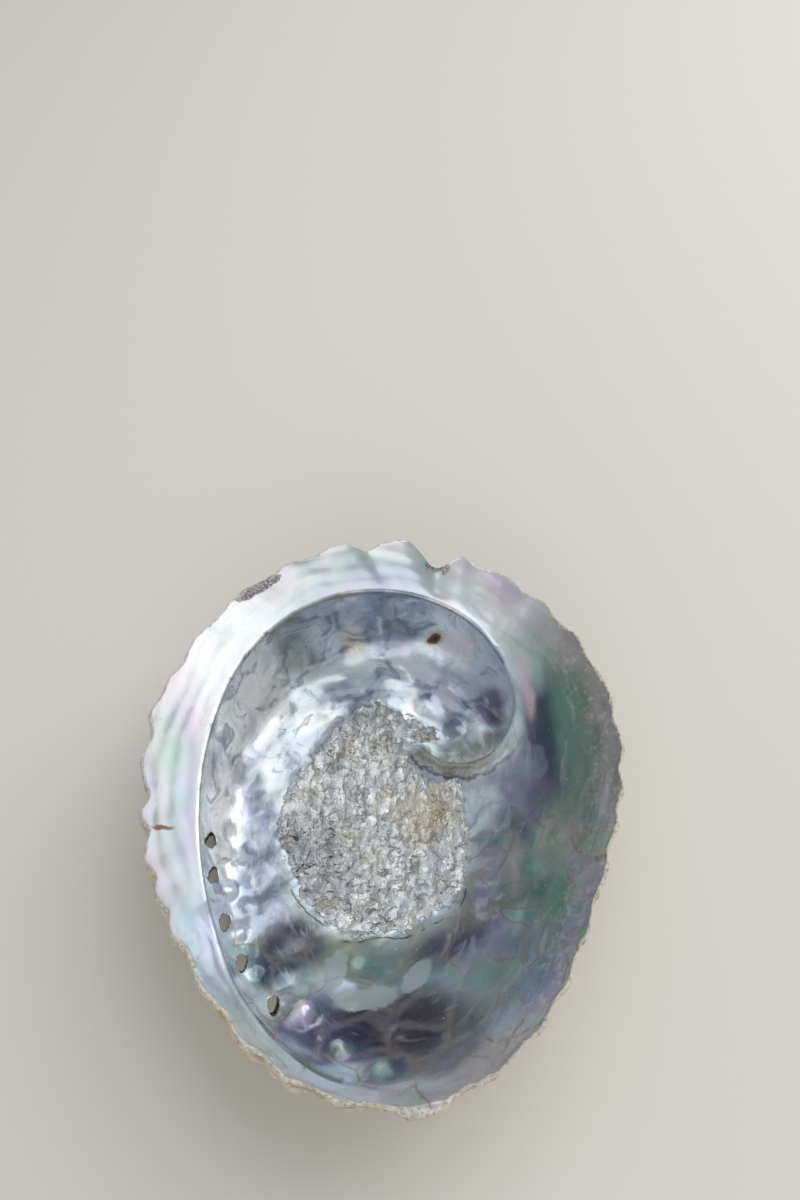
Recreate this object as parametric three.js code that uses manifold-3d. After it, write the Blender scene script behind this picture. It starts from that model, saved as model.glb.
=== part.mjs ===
// An abalone shell lying on its back, with its mother-of-pearl bowl open upwards.
//
// The shell grew as one piece, so it is one closed solid. Its inner lip is a spiral: it starts in the recess
// of the old whorls, winds out along the far and left sides as the edge of a flat shelf, and ends at the
// growing tip. Rays run from the pole of that spiral to the rim. Along each ray the section climbs every
// wall the lip stands on, crosses the shelf, turns over the rim and comes back underneath to the worn crown
// the shell rests on. Five breathing pores are cut through beside the left-hand wall.
//
// Units are millimetres, +Z is up, +Y runs from the growing tip towards the whorls.
// The origin is the centre of the base, under the middle of the rim's bounding box.
import * as THREE from "three";
import { mergeVertices } from "three/addons/utils/BufferGeometryUtils.js";
import Module from "manifold-3d";

const DEG = Math.PI / 180;

// Driving dimensions.
const RIM_HEIGHT = 52;
const FLOOR_HEIGHT = 7; // inside of the bowl above the base, at the muscle scar
const RIM_EDGE = { right: 2.2, left: 3.8 }; // thickness of the margin
const BOWL_CENTRE = new THREE.Vector2(-2, -4);
const CROWN = new THREE.Vector2(-10, 19); // the lowest point of the floor and of the back
const POLE = new THREE.Vector2(25, 41); // where the spiral winds in to

// The rim is an egg: a mean radius about the bowl's centre, and waves on it at whole numbers per turn.
const RIM_RADIUS = 84;
const RIM_WAVES = [
  { perTurn: 1, size: 7.2, peak: 57 },
  { perTurn: 2, size: 9.7, peak: 89 },
  { perTurn: 3, size: 2.6, peak: 40 },
  { perTurn: 4, size: 1.5, peak: 10 },
];
const SCALLOP = { perTurn: 30, size: 0.8 };
// Chips out of the margin (out < 0) and lobes on it, by the direction they lie in from the bowl's centre.
const MARGIN = [
  { at: 76.5, width: 4, out: -7 }, // the half-moon bite beside the whorls
  { at: 84, width: 3, out: 3.4 },
  { at: 92, width: 1.8, out: -3 },
  { at: 96.5, width: 3, out: 2.4 },
  { at: 155, width: 5, out: 1.8 },
  { at: 180, width: 3, out: -3 },
  { at: 189, width: 2.5, out: -1.8 },
  { at: 281, width: 5, out: 3 },
];

// The lip from its inner end in the recess out to the growing tip: [x, y, z].
const LIP = [
  [14, 38, 12],
  [17.5, 31, 15],
  [25.5, 25.3, 19],
  [35, 24.8, 23.5],
  [43, 30.5, 28],
  [46.8, 43, 33],
  [41.5, 57, 38.5],
  [29.5, 69, 44],
  [10, 76.5, 47.5],
  [-14, 75.5, 48.5],
  [-34, 64.5, 48.5],
  [-47.5, 46, 48.5],
  [-54.5, 22, 48.5],
  [-56, 0, 48.5],
  [-53.5, -23, 48.5],
  [-48, -43, 48.5],
  [-40, -61, 48.5],
  [-29, -74.5, 48.5],
  [-15, -84.5, 48.5],
  [1, -90, 48.5],
];
const LIP_BEAD = 1.5; // radius of its rounded edge
// The wall under the lip, by degrees wound from the inner end: how far its foot stands out into the bowl,
// how far the cavity reaches back under the lip, and how much of a shelf lies behind it.
const WALL = [
  { wound: 0, foot: 3, under: 0, shelf: 0 },
  { wound: 90, foot: 4, under: 1, shelf: 0 },
  { wound: 160, foot: 6, under: 3, shelf: 0 },
  { wound: 230, foot: 12, under: 5.5, shelf: 1 },
  { wound: 290, foot: 13, under: 5.5, shelf: 1 },
  { wound: 350, foot: 11, under: 5, shelf: 1 },
  { wound: 390, foot: 11, under: 2, shelf: 1 },
  { wound: 425, foot: 11, under: 0, shelf: 0 },
];
const RECESS = { depth: 2.5, radius: 14 };
const FLOOR_THICKNESS = 8.4; // at the crown, before its lowest millimetre and a half is worn flat
const SCAR = { x: -1, y: 8, halfWidth: 32, halfLength: 43, height: 1.1 };
const PORES = [
  { x: -57, y: -3 },
  { x: -54.5, y: -16 },
  { x: -49.5, y: -31 },
  { x: -43, y: -44 },
  { x: -33, y: -57 },
];
const PORE = { halfWidth: 2.1, halfLength: 2.9 };
const PORE_LEAN = { toTip: 20, toRight: 9 }; // degrees off upright, going up

// The net of the skin: rays from the pole, and rings along each of them.
const RAYS = 120;
const RINGS = { recess: 5, innerWall: 8, floor: 7, outerWall: 8, shelf: 4, back: 10 };
const INNER_WALL_START = RINGS.recess;
const INNER_WALL_END = INNER_WALL_START + RINGS.innerWall;
const OUTER_WALL_START = INNER_WALL_END + RINGS.floor;
const OUTER_WALL_END = OUTER_WALL_START + RINGS.outerWall;
const LAST_RING = OUTER_WALL_END + RINGS.shelf;
// Degrees wound between which the lip passes from the inner wall's rings to the outer wall's.
const PASSING = { from: 130, to: 215 };

const clamp01 = (t) => Math.min(1, Math.max(0, t));
const mix = (a, b, t) => a + (b - a) * t;
const smooth = (from, to, value) => {
  const t = clamp01((value - from) / (to - from));
  return t * t * (3 - 2 * t);
};
const wrap = (angle, from) => ((((angle - from) % 360) + 360) % 360) + from;

// Reads a table of rising keys and values at one key.
const readTable = (keys, values, key) => {
  let i = 1;
  while (i < keys.length - 1 && keys[i] < key) i += 1;
  return mix(values[i - 1], values[i], clamp01((key - keys[i - 1]) / (keys[i] - keys[i - 1])));
};

// The egg without its scallops and chips, at an angle in degrees.
const eggRadius = (angle) =>
  RIM_WAVES.reduce((r, w) => r + w.size * Math.cos(w.perTurn * (angle - w.peak) * DEG), RIM_RADIUS);

const rimRadius = (angle) => {
  const scallop = SCALLOP.size * Math.sin(SCALLOP.perTurn * angle * DEG + Math.sin(7 * angle * DEG));
  const worn = MARGIN.reduce((sum, m) => {
    const off = wrap(angle - m.at, -180) / m.width;
    return sum + m.out * Math.exp(-off * off);
  }, 0);
  return eggRadius(angle) + scallop + worn;
};

const rimHeight = (angle) => RIM_HEIGHT + 1.2 * Math.cos(2 * (angle - 100) * DEG);

// The lip as radius and height by degrees wound about the pole.
const lip = (() => {
  const curve = new THREE.CatmullRomCurve3(LIP.map((p) => new THREE.Vector3(...p)));
  const wound = [];
  const radius = [];
  const height = [];
  curve.getSpacedPoints(240).forEach((p) => {
    const angle = Math.atan2(p.y - POLE.y, p.x - POLE.x) / DEG;
    const last = wound.length ? wound[wound.length - 1] : angle;
    wound.push(wrap(angle, last - 180));
    radius.push(Math.hypot(p.x - POLE.x, p.y - POLE.y));
    height.push(p.z);
  });
  const start = wound[0];
  const turned = wound.map((w) => w - start);
  return {
    start,
    length: turned[turned.length - 1],
    radius: (w) => readTable(turned, radius, w),
    height: (w) => readTable(turned, height, w),
  };
})();

const wallAt = (wound) => {
  const keys = WALL.map((w) => w.wound);
  const read = (name) => readTable(keys, WALL.map((w) => w[name]), wound);
  return { foot: read("foot"), under: read("under"), shelf: read("shelf") };
};

// How deep the bowl lies just outside the lip's first turn: 1 is the deep cavity, 0 the plain wall.
const depthOutside = (wound) => smooth(90, 10, wound);

const scarHeight = (x, y) => {
  const across = (x - SCAR.x) / SCAR.halfWidth;
  const along = (y - SCAR.y) / SCAR.halfLength;
  return SCAR.height * smooth(1.08, 0.94, Math.hypot(across, along));
};

// Height of the bowl over a point of the plan: 0 depth is its plain right-hand wall, 1 the deep cavity.
const bowlHeight = (x, y, depth) => {
  const angle = Math.atan2(y - BOWL_CENTRE.y, x - BOWL_CENTRE.x) / DEG;
  const r = Math.hypot(x - BOWL_CENTRE.x, y - BOWL_CENTRE.y);
  const out = Math.min(1, r / eggRadius(angle));
  const plain = FLOOR_HEIGHT + (rimHeight(angle) - FLOOR_HEIGHT) * out ** 2.1;
  const toPole = Math.hypot(x - POLE.x, y - POLE.y) / RECESS.radius;
  const toCrown = Math.hypot(x - CROWN.x, y - CROWN.y);
  const deep = FLOOR_HEIGHT + 5 * (toCrown / 62) ** 2 - RECESS.depth * Math.exp(-toPole * toPole);
  return mix(plain, deep, depth * smooth(1, 0.75, out));
};

// The wall under the lip from its foot (t = 0) to the top of the lip's bead (t = 1), as [radius, height].
const wallPoint = (wall, t) => {
  const underLip = wall.top - 2 * LIP_BEAD;
  const hollow = underLip - Math.min(9, 0.35 * Math.max(0, underLip - wall.footHeight));
  const back = wall.radius + wall.under;
  if (t < 0.5) {
    const turn = t * Math.PI;
    return [
      mix(wall.footRadius, back, Math.sin(turn)),
      mix(wall.footHeight, hollow, 1 - Math.cos(turn)),
    ];
  }
  const beadCentre = wall.radius + LIP_BEAD;
  if (t < 0.75) {
    const turn = ((t - 0.5) / 0.5) * Math.PI;
    return [mix(beadCentre, back, Math.cos(turn)), mix(hollow, underLip, Math.sin(turn))];
  }
  const turn = ((t - 0.75) / 0.25) * Math.PI;
  return [beadCentre - LIP_BEAD * Math.sin(turn), wall.top - LIP_BEAD - LIP_BEAD * Math.cos(turn)];
};

// The section along one ray, from the pole to the outer edge of the rim.
const insideSection = (rimAngle) => {
  const rim = rimRadius(rimAngle);
  const top = rimHeight(rimAngle);
  const dx = BOWL_CENTRE.x + rim * Math.cos(rimAngle * DEG) - POLE.x;
  const dy = BOWL_CENTRE.y + rim * Math.sin(rimAngle * DEG) - POLE.y;
  const length = Math.hypot(dx, dy);
  const wound = wrap(Math.atan2(dy, dx) / DEG, lip.start) - lip.start;
  const at = (r, z) => new THREE.Vector3(POLE.x + (dx * r) / length, POLE.y + (dy * r) / length, z);
  const heightAt = (r, depth) => {
    const { x, y } = at(r, 0);
    return bowlHeight(x, y, depth) + scarHeight(x, y);
  };
  const outside = depthOutside(wound);

  const raise = (turned, depth) => {
    const { foot, under, shelf } = wallAt(turned);
    const radius = lip.radius(turned);
    const footRadius = radius - foot;
    const footHeight = heightAt(footRadius, depth);
    return { turned, radius, under, shelf, footRadius, footHeight, top: lip.height(turned) };
  };
  const twice = wound + 360 < lip.length;
  const passed = smooth(PASSING.from, PASSING.to, wound);
  const inner = raise(wound, 1);
  // Beyond the tip the lip's place is held in proportion to the ray.
  const tipShare = lip.radius(lip.length) / length;
  const outer = twice ? raise(wound + 360, outside) : null;
  const holdRadius = twice ? outer.radius : Math.min(lip.radius(lip.length), 0.95 * length);
  const holdFoot = twice ? outer.footRadius : holdRadius - 11 * clamp01(tipShare);

  // Stations: [ring, radius along the ray] where the net is pinned, with the walls between their own pair.
  const innerStart = mix(INNER_WALL_START, OUTER_WALL_START, passed);
  const innerEnd = mix(INNER_WALL_END, OUTER_WALL_END, passed);
  const spread = (ring, stations) => {
    const keys = stations.map((s) => s[0]);
    return readTable(keys, stations.map((s) => s[1]), ring);
  };
  const lipTop = inner.radius + LIP_BEAD;
  const beforeWall = (ring) => {
    const even = (inner.footRadius * ring) / innerStart;
    const first = lip.radius(0);
    const pinned = spread(ring, [
      [0, 0],
      [INNER_WALL_START, first - wallAt(0).foot],
      [INNER_WALL_END, first + LIP_BEAD],
      [Math.max(innerStart, INNER_WALL_END + 0.01), inner.footRadius],
    ]);
    return mix(even, pinned, smooth(PASSING.to, 360, wound));
  };
  const afterWall = (ring) => {
    const even = mix(lipTop, length - 0.8, (ring - innerEnd) / (LAST_RING - innerEnd));
    const pinned = spread(ring, [
      [innerEnd, lipTop],
      [OUTER_WALL_START, holdFoot],
      [OUTER_WALL_END, holdRadius + LIP_BEAD],
      [LAST_RING, length - 0.8],
    ]);
    return mix(pinned, even, smooth(lip.length - 360, PASSING.from, wound));
  };
  const shelfHeight = (r, wall) => {
    const t = clamp01((r - wall.radius - LIP_BEAD) / (length - 0.8 - wall.radius - LIP_BEAD));
    return mix(wall.top, top, t ** 1.3);
  };
  const openHeight = (r) => {
    const lipGap = inner.top - heightAt(lipTop, outside);
    const ridge = wound < PASSING.to ? lipGap * Math.exp(-Math.max(0, r - lipTop) / 5) : 0;
    return heightAt(r, outside) + ridge * smooth(0, 25, wound);
  };

  const section = [];
  for (let ring = 1; ring <= LAST_RING; ring += 1) {
    if (ring <= innerStart) {
      const r = beforeWall(ring);
      section.push(at(r, heightAt(r, 1)));
    } else if (ring < innerEnd) {
      const t = (ring - innerStart) / (innerEnd - innerStart);
      const [r, z] = wallPoint(inner, t);
      const plain = at(mix(inner.footRadius, lipTop, t), heightAt(mix(inner.footRadius, lipTop, t), 1));
      section.push(plain.lerp(at(r, z), smooth(0, 25, wound)));
    } else if (twice && ring >= OUTER_WALL_START) {
      const t = (ring - OUTER_WALL_START) / (OUTER_WALL_END - OUTER_WALL_START);
      const plainRadius = afterWall(ring);
      const plain = at(plainRadius, openHeight(plainRadius));
      const [r, z] = t < 1 ? wallPoint(outer, t) : [plainRadius, shelfHeight(plainRadius, outer)];
      section.push(plain.lerp(at(r, z), outer.shelf));
    } else {
      const r = afterWall(ring);
      section.push(at(r, mix(openHeight(r), shelfHeight(r, inner), inner.shelf)));
    }
  }
  const thick = mix(RIM_EDGE.right, RIM_EDGE.left, twice ? outer.shelf : inner.shelf);
  section.push(at(length, top - thick * 0.5));
  section.push(at(length - 0.6, top - thick));
  return section;
};

// How deep the bowl lies over a point of the plan, with the walls under the lip smoothed out.
const depthOver = (x, y) => {
  const r = Math.hypot(x - POLE.x, y - POLE.y);
  const wound = wrap(Math.atan2(y - POLE.y, x - POLE.x) / DEG, lip.start) - lip.start;
  const within = (turned) => smooth(lip.radius(turned) + 16, lip.radius(turned) + 4, r);
  return Math.max(within(wound), depthOutside(wound));
};

// The section of the back, from the rim's outer edge in to the crown. It keeps a wall's thickness below the
// bowl; on the sides that carry the shelf it bulges further, to pass round the cavity.
const backSection = (rimAngle, edge) => {
  const angle = wrap(rimAngle, -68);
  const plainX = BOWL_CENTRE.x + eggRadius(rimAngle) * Math.cos(rimAngle * DEG);
  const plainY = BOWL_CENTRE.y + eggRadius(rimAngle) * Math.sin(rimAngle * DEG);
  const bulging = smooth(8, 42, angle) * smooth(290, 245, angle);
  const thinning = rimHeight(rimAngle) - edge.z;
  const section = [];
  for (let i = 1; i <= RINGS.back; i += 1) {
    const f = 1 - (i / (RINGS.back + 1)) ** 1.5;
    const rough = smooth(0.6, 1, f); // the scallops of the margin die away down the back
    const x = mix(CROWN.x, mix(plainX, edge.x, rough), f);
    const y = mix(CROWN.y, mix(plainY, edge.y, rough), f);
    const parallel = bowlHeight(x, y, depthOver(x, y)) - mix(FLOOR_THICKNESS, thinning, f);
    const bulge = edge.z * (1 - (1 - f ** 2.5) ** (1 / 2.5));
    const z = mix(parallel, Math.min(parallel, bulge), bulging);
    section.push(new THREE.Vector3(x, y, Math.max(0, z)));
  }
  return section;
};

// One closed skin: the net of sections, with a fan at the pole inside and another at the crown outside.
const buildSkin = () => {
  const positions = [];
  const indices = [];
  const add = (p) => positions.push(p.x, p.y, p.z);
  const perRay = LAST_RING + 2 + RINGS.back;
  for (let j = 0; j < RAYS; j += 1) {
    const rimAngle = (360 * j) / RAYS;
    const inside = insideSection(rimAngle);
    [...inside, ...backSection(rimAngle, inside[inside.length - 1])].forEach(add);
  }
  const pole = positions.length / 3;
  const crown = pole + 1;
  add(new THREE.Vector3(POLE.x, POLE.y, bowlHeight(POLE.x, POLE.y, 1)));
  add(new THREE.Vector3(CROWN.x, CROWN.y, 0));
  const point = (i) => new THREE.Vector3().fromArray(positions, 3 * i);
  for (let j = 0; j < RAYS; j += 1) {
    const a = j * perRay;
    const b = ((j + 1) % RAYS) * perRay;
    indices.push(pole, a, b);
    for (let i = 0; i < perRay - 1; i += 1) {
      // Each four-sided cell is split along its shorter diagonal, so that edges keep to the lip.
      const [p, q, r, s] = [a + i, a + i + 1, b + i + 1, b + i];
      const shorter = point(p).distanceTo(point(r)) < point(q).distanceTo(point(s));
      indices.push(...(shorter ? [p, q, r, p, r, s] : [p, q, s, q, r, s]));
    }
    indices.push(a + perRay - 1, crown, b + perRay - 1);
  }
  const skin = new THREE.BufferGeometry();
  skin.setAttribute("position", new THREE.Float32BufferAttribute(positions, 3));
  skin.setIndex(indices);
  return skin;
};

// A pore is an oval tube through the floor, leaning towards the growing tip.
const poreCutter = (pore) => {
  const tube = new THREE.CylinderGeometry(1, 1, 40, 10);
  tube.deleteAttribute("normal");
  tube.deleteAttribute("uv");
  tube.rotateX(Math.PI / 2);
  tube.scale(PORE.halfWidth, PORE.halfLength, 1);
  tube.rotateX(PORE_LEAN.toTip * DEG);
  tube.rotateY(PORE_LEAN.toRight * DEG);
  tube.translate(pore.x, pore.y, 16);
  return tube;
};

const wasm = await Module();
wasm.setup();

const toSolid = (geometry) => {
  const merged = mergeVertices(geometry, 1e-4);
  return new wasm.Manifold(
    new wasm.Mesh({
      numProp: 3,
      vertProperties: new Float32Array(merged.attributes.position.array),
      triVerts: new Uint32Array(merged.index.array),
    }),
  );
};

const toGeometry = (solid) => {
  const mesh = solid.getMesh();
  const geometry = new THREE.BufferGeometry();
  geometry.setAttribute("position", new THREE.BufferAttribute(mesh.vertProperties, 3));
  geometry.setIndex(new THREE.BufferAttribute(mesh.triVerts, 1));
  geometry.computeVertexNormals();
  return geometry;
};

const buildShell = () => {
  const pierced = PORES.reduce((solid, pore) => solid.subtract(toSolid(poreCutter(pore))), toSolid(buildSkin()));
  const geometry = toGeometry(pierced);
  geometry.computeBoundingBox();
  const centre = geometry.boundingBox.getCenter(new THREE.Vector3());
  geometry.translate(-centre.x, -centre.y, 0);
  const nacre = new THREE.MeshStandardMaterial({ color: 0xb4bcc0, roughness: 0.28, metalness: 0.25 });
  const mesh = new THREE.Mesh(geometry, nacre);
  mesh.name = "shell";
  return mesh;
};

const abalone = new THREE.Group();
abalone.add(buildShell());

export default abalone;
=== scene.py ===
"""An abalone shell lying on its back, with its mother-of-pearl bowl open upwards.

The shell grew as one piece, so it is one closed skin. Rays run from the pole of the lip's spiral to the
rim. Along each ray the skin climbs every wall the lip stands on, crosses the shelf, turns over the margin and
comes back underneath to the worn crown. Relief is then raised on that skin along its normals, five breathing
pores are cut through it, and one material dresses it: pearl, muscle scar, chalky margin and crusted back.

Lengths are millimetres, with +Z up and +Y from the growing tip towards the whorls, until a mesh is written.
Meshes are written in metres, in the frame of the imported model.
"""

import logging
import math
from dataclasses import dataclass, field
from enum import Enum
from typing import Any, Optional, Union

import bpy
import numpy as np
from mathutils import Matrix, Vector

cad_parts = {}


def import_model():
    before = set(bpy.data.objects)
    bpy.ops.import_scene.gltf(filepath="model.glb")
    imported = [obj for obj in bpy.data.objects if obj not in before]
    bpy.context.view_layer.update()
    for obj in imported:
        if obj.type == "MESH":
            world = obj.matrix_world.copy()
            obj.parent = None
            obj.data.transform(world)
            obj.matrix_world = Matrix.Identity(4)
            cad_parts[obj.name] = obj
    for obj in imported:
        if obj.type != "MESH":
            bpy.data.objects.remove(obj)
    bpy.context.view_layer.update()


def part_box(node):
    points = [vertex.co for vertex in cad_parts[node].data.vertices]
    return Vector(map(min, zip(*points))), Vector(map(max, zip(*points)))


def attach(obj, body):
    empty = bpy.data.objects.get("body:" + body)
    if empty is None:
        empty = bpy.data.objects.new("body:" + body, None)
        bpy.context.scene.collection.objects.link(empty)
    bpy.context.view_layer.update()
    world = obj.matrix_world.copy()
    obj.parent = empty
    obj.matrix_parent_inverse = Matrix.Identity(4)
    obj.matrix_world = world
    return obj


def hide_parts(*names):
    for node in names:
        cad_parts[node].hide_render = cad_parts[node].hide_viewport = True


LOG = logging.getLogger("abalone")
MM = 0.001
Array = np.ndarray
# How a mesh carries one, three or four numbers at each corner: the kind of attribute, and its key.
CARRIERS = {1: ("FLOAT", "value"), 3: ("FLOAT_VECTOR", "vector"), 4: ("FLOAT_COLOR", "color")}
Number = Union[float, Array]


# ---------------------------------------------------------------------------------------------------------
# Shared arithmetic
# ---------------------------------------------------------------------------------------------------------


def smooth(start: Number, end: Number, value: Number) -> Array:
    """Eases from 0 where value is start to 1 where it is end: t*t*(3 - 2t) of the clipped share t."""
    share = np.clip((value - start) / (end - start), 0.0, 1.0)
    return share * share * (3.0 - 2.0 * share)


def mix(first: Number, second: Number, share: Number) -> Number:
    """Goes straight from first to second as share goes from 0 to 1."""
    return first + (second - first) * share


def wrap(angle: Number, start: float) -> Number:
    """Brings an angle in degrees into the full turn that begins at start."""
    return (angle - start) % 360.0 + start


def turn_of(x: Number, y: Number, centre: tuple[float, float]) -> Array:
    """Gives the direction, in degrees, from a centre to points of the plan."""
    return np.degrees(np.arctan2(y - centre[1], x - centre[0]))


def through_stations(key: Array, stations: list[tuple[Number, Number]]) -> Array:
    """Reads a broken line through stations whose keys and values may differ from ray to ray.

    Args:
        key: Where to read, broadcast against the stations.
        stations: Pairs of key and value, with the keys rising.

    Returns:
        The value at each key: straight between neighbouring stations.
    """
    result = None
    for (key_a, value_a), (key_b, value_b) in zip(stations, stations[1:]):
        piece = mix(value_a, value_b, (key - key_a) / (key_b - key_a))
        result = piece if result is None else np.where(key > key_a, piece, result)
    return result


@dataclass(frozen=True)
class Lattice:
    """Repeatable noise on a lattice of hashed corners, worked out for whole arrays of points."""

    seed: int

    def octave(self, points: Array, number: int) -> Array:
        """Points of one octave, twice as fine as the last and turned so that no lattice line shows.

        Args:
            points: Points, with x, y and z along the last axis.
            number: The octave, counted from 0.

        Returns:
            The points in the octave's own units.
        """
        turn, tip = 0.7 + 1.9 * number, 0.5 + 1.3 * number
        about_z = np.array(
            [[math.cos(turn), -math.sin(turn), 0], [math.sin(turn), math.cos(turn), 0], [0, 0, 1]]
        )
        about_x = np.array([[1, 0, 0], [0, math.cos(tip), -math.sin(tip)], [0, math.sin(tip), math.cos(tip)]])
        return points @ (about_x @ about_z).T * 2.0**number + 17.3 * number

    def corner(self, cell: Array, salt: int = 0) -> Array:
        """Hashes whole-number lattice corners to numbers from 0 to 1.

        Args:
            cell: Corners, with x, y and z on the last axis.
            salt: Chooses one of several independent numbers for the same corner.

        Returns:
            One number for each corner.
        """
        whole = cell.astype(np.int64)
        mixed = whole[..., 0] * 374761393 + whole[..., 1] * 668265263 + whole[..., 2] * 1440662683
        mixed = (mixed + (self.seed * 97 + salt) * 2654435761) & 0xFFFFFFFF
        mixed = ((mixed ^ (mixed >> 13)) * 1274126177) & 0xFFFFFFFF
        mixed = ((mixed ^ (mixed >> 16)) * 2246822519) & 0xFFFFFFFF
        return (mixed ^ (mixed >> 15)) / 4294967295.0

    def value(self, points: Array) -> Array:
        """Blends the eight corners round each point by eased shares; the result runs from -1 to 1.

        Args:
            points: Points, with x, y and z along the last axis.

        Returns:
            One value to a point.
        """
        base = np.floor(points)
        share = points - base
        share = share * share * (3.0 - 2.0 * share)
        total = np.zeros(points.shape[:-1])
        for index in range(8):
            step = np.array([index & 1, index >> 1 & 1, index >> 2 & 1])
            weight = np.prod(np.where(step == 1, share, 1.0 - share), axis=-1)
            total += weight * self.corner(base + step)
        return 2.0 * total - 1.0

    def layered(self, points: Array, octaves: int = 3) -> Array:
        """Adds octaves of value noise, each twice as fine and half as strong as the last.

        Args:
            points: Points, with x, y and z along the last axis.
            octaves: How many octaves there are.

        Returns:
            One value to a point.
        """
        total = np.zeros(points.shape[:-1])
        for octave in range(octaves):
            total += self.value(self.octave(points, octave)) * 0.5**octave
        return total / (2.0 - 0.5 ** (octaves - 1))

    def nearest_seed(self, points: Array) -> tuple[Array, Array]:
        """Finds the nearest scattered seed, one seed to each lattice cell.

        Args:
            points: Points in lattice units.

        Returns:
            The distance to the nearest seed, and a number from 0 to 1 that belongs to that seed.
        """
        base = np.floor(points)
        best = np.full(points.shape[:-1], 9.0)
        owner = np.zeros(points.shape[:-1])
        for index in range(27):
            cell = base + np.array([index % 3 - 1, index // 3 % 3 - 1, index // 9 - 1])
            seed = cell + np.stack([self.corner(cell, salt) for salt in (1, 2, 3)], axis=-1)
            gap = np.linalg.norm(points - seed, axis=-1)
            owner = np.where(gap < best, self.corner(cell, 4), owner)
            best = np.minimum(best, gap)
        return best, owner


# ---------------------------------------------------------------------------------------------------------
# The bare form of the shell
# ---------------------------------------------------------------------------------------------------------


@dataclass(frozen=True)
class Wave:
    """A wave on the egg of the rim, at a whole number per turn."""

    per_turn: int
    size: float
    peak: float


@dataclass(frozen=True)
class Chip:
    """A chip out of the margin (out below 0) or a lobe on it, by its direction from the bowl's centre."""

    at: float
    width: float
    out: float


@dataclass(frozen=True)
class Rim:
    """The plan and height of the rim, by the angle about the bowl's centre."""

    centre: tuple[float, float] = (-2.0, -4.0)
    mean_radius: float = 84.0
    height: float = 52.0
    waves: tuple[Wave, ...] = (Wave(1, 7.2, 57), Wave(2, 9.7, 89), Wave(3, 2.6, 40), Wave(4, 1.5, 10))
    scallops: int = 30
    scallop_size: float = 0.8
    chips: tuple[Chip, ...] = (
        Chip(76.5, 3.6, -8),
        Chip(84, 3, 3.4),
        Chip(71.5, 1.6, 1.8),
        Chip(92, 1.8, -3),
        Chip(96.5, 3, 2.4),
        Chip(155, 5, 1.8),
        Chip(180, 3, -3),
        Chip(189, 2.5, -1.8),
        Chip(281, 5, 3),
    )
    nibble: float = 0.5  # the finer, uneven wear of the margin

    def egg(self, angle: Array) -> Array:
        """The egg's radius: the mean radius plus size * cos(per turn * (angle - peak)) of each wave.

        Args:
            angle: Degrees about the bowl's centre.

        Returns:
            The radius at each angle.
        """
        radius = np.full(np.shape(angle), self.mean_radius)
        for wave in self.waves:
            radius = radius + wave.size * np.cos(np.radians(wave.per_turn * (angle - wave.peak)))
        return radius

    def radius(self, angle: Array, grain: Lattice) -> Array:
        """The worn rim's radius: the egg, its scallops, a bell curve for each chip, and fine nibbles.

        Args:
            angle: Degrees about the bowl's centre.
            grain: The noise that the nibbles come from.

        Returns:
            The radius at each angle.
        """
        waver = np.sin(np.radians(7 * angle))
        radius = self.egg(angle) + self.scallop_size * np.sin(np.radians(self.scallops * angle) + waver)
        for chip in self.chips:
            radius = radius + chip.out * np.exp(-((wrap(angle - chip.at, -180.0) / chip.width) ** 2))
        around = np.stack([np.cos(np.radians(angle)), np.sin(np.radians(angle)), np.zeros_like(angle)], -1)
        return radius + self.nibble * grain.layered(around * 26.0, 3)

    def top(self, angle: Array) -> Array:
        """The rim's height, which rises and dips twice in a turn by a little over a millimetre."""
        return self.height + 1.2 * np.cos(np.radians(2 * (angle - 100)))


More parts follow.
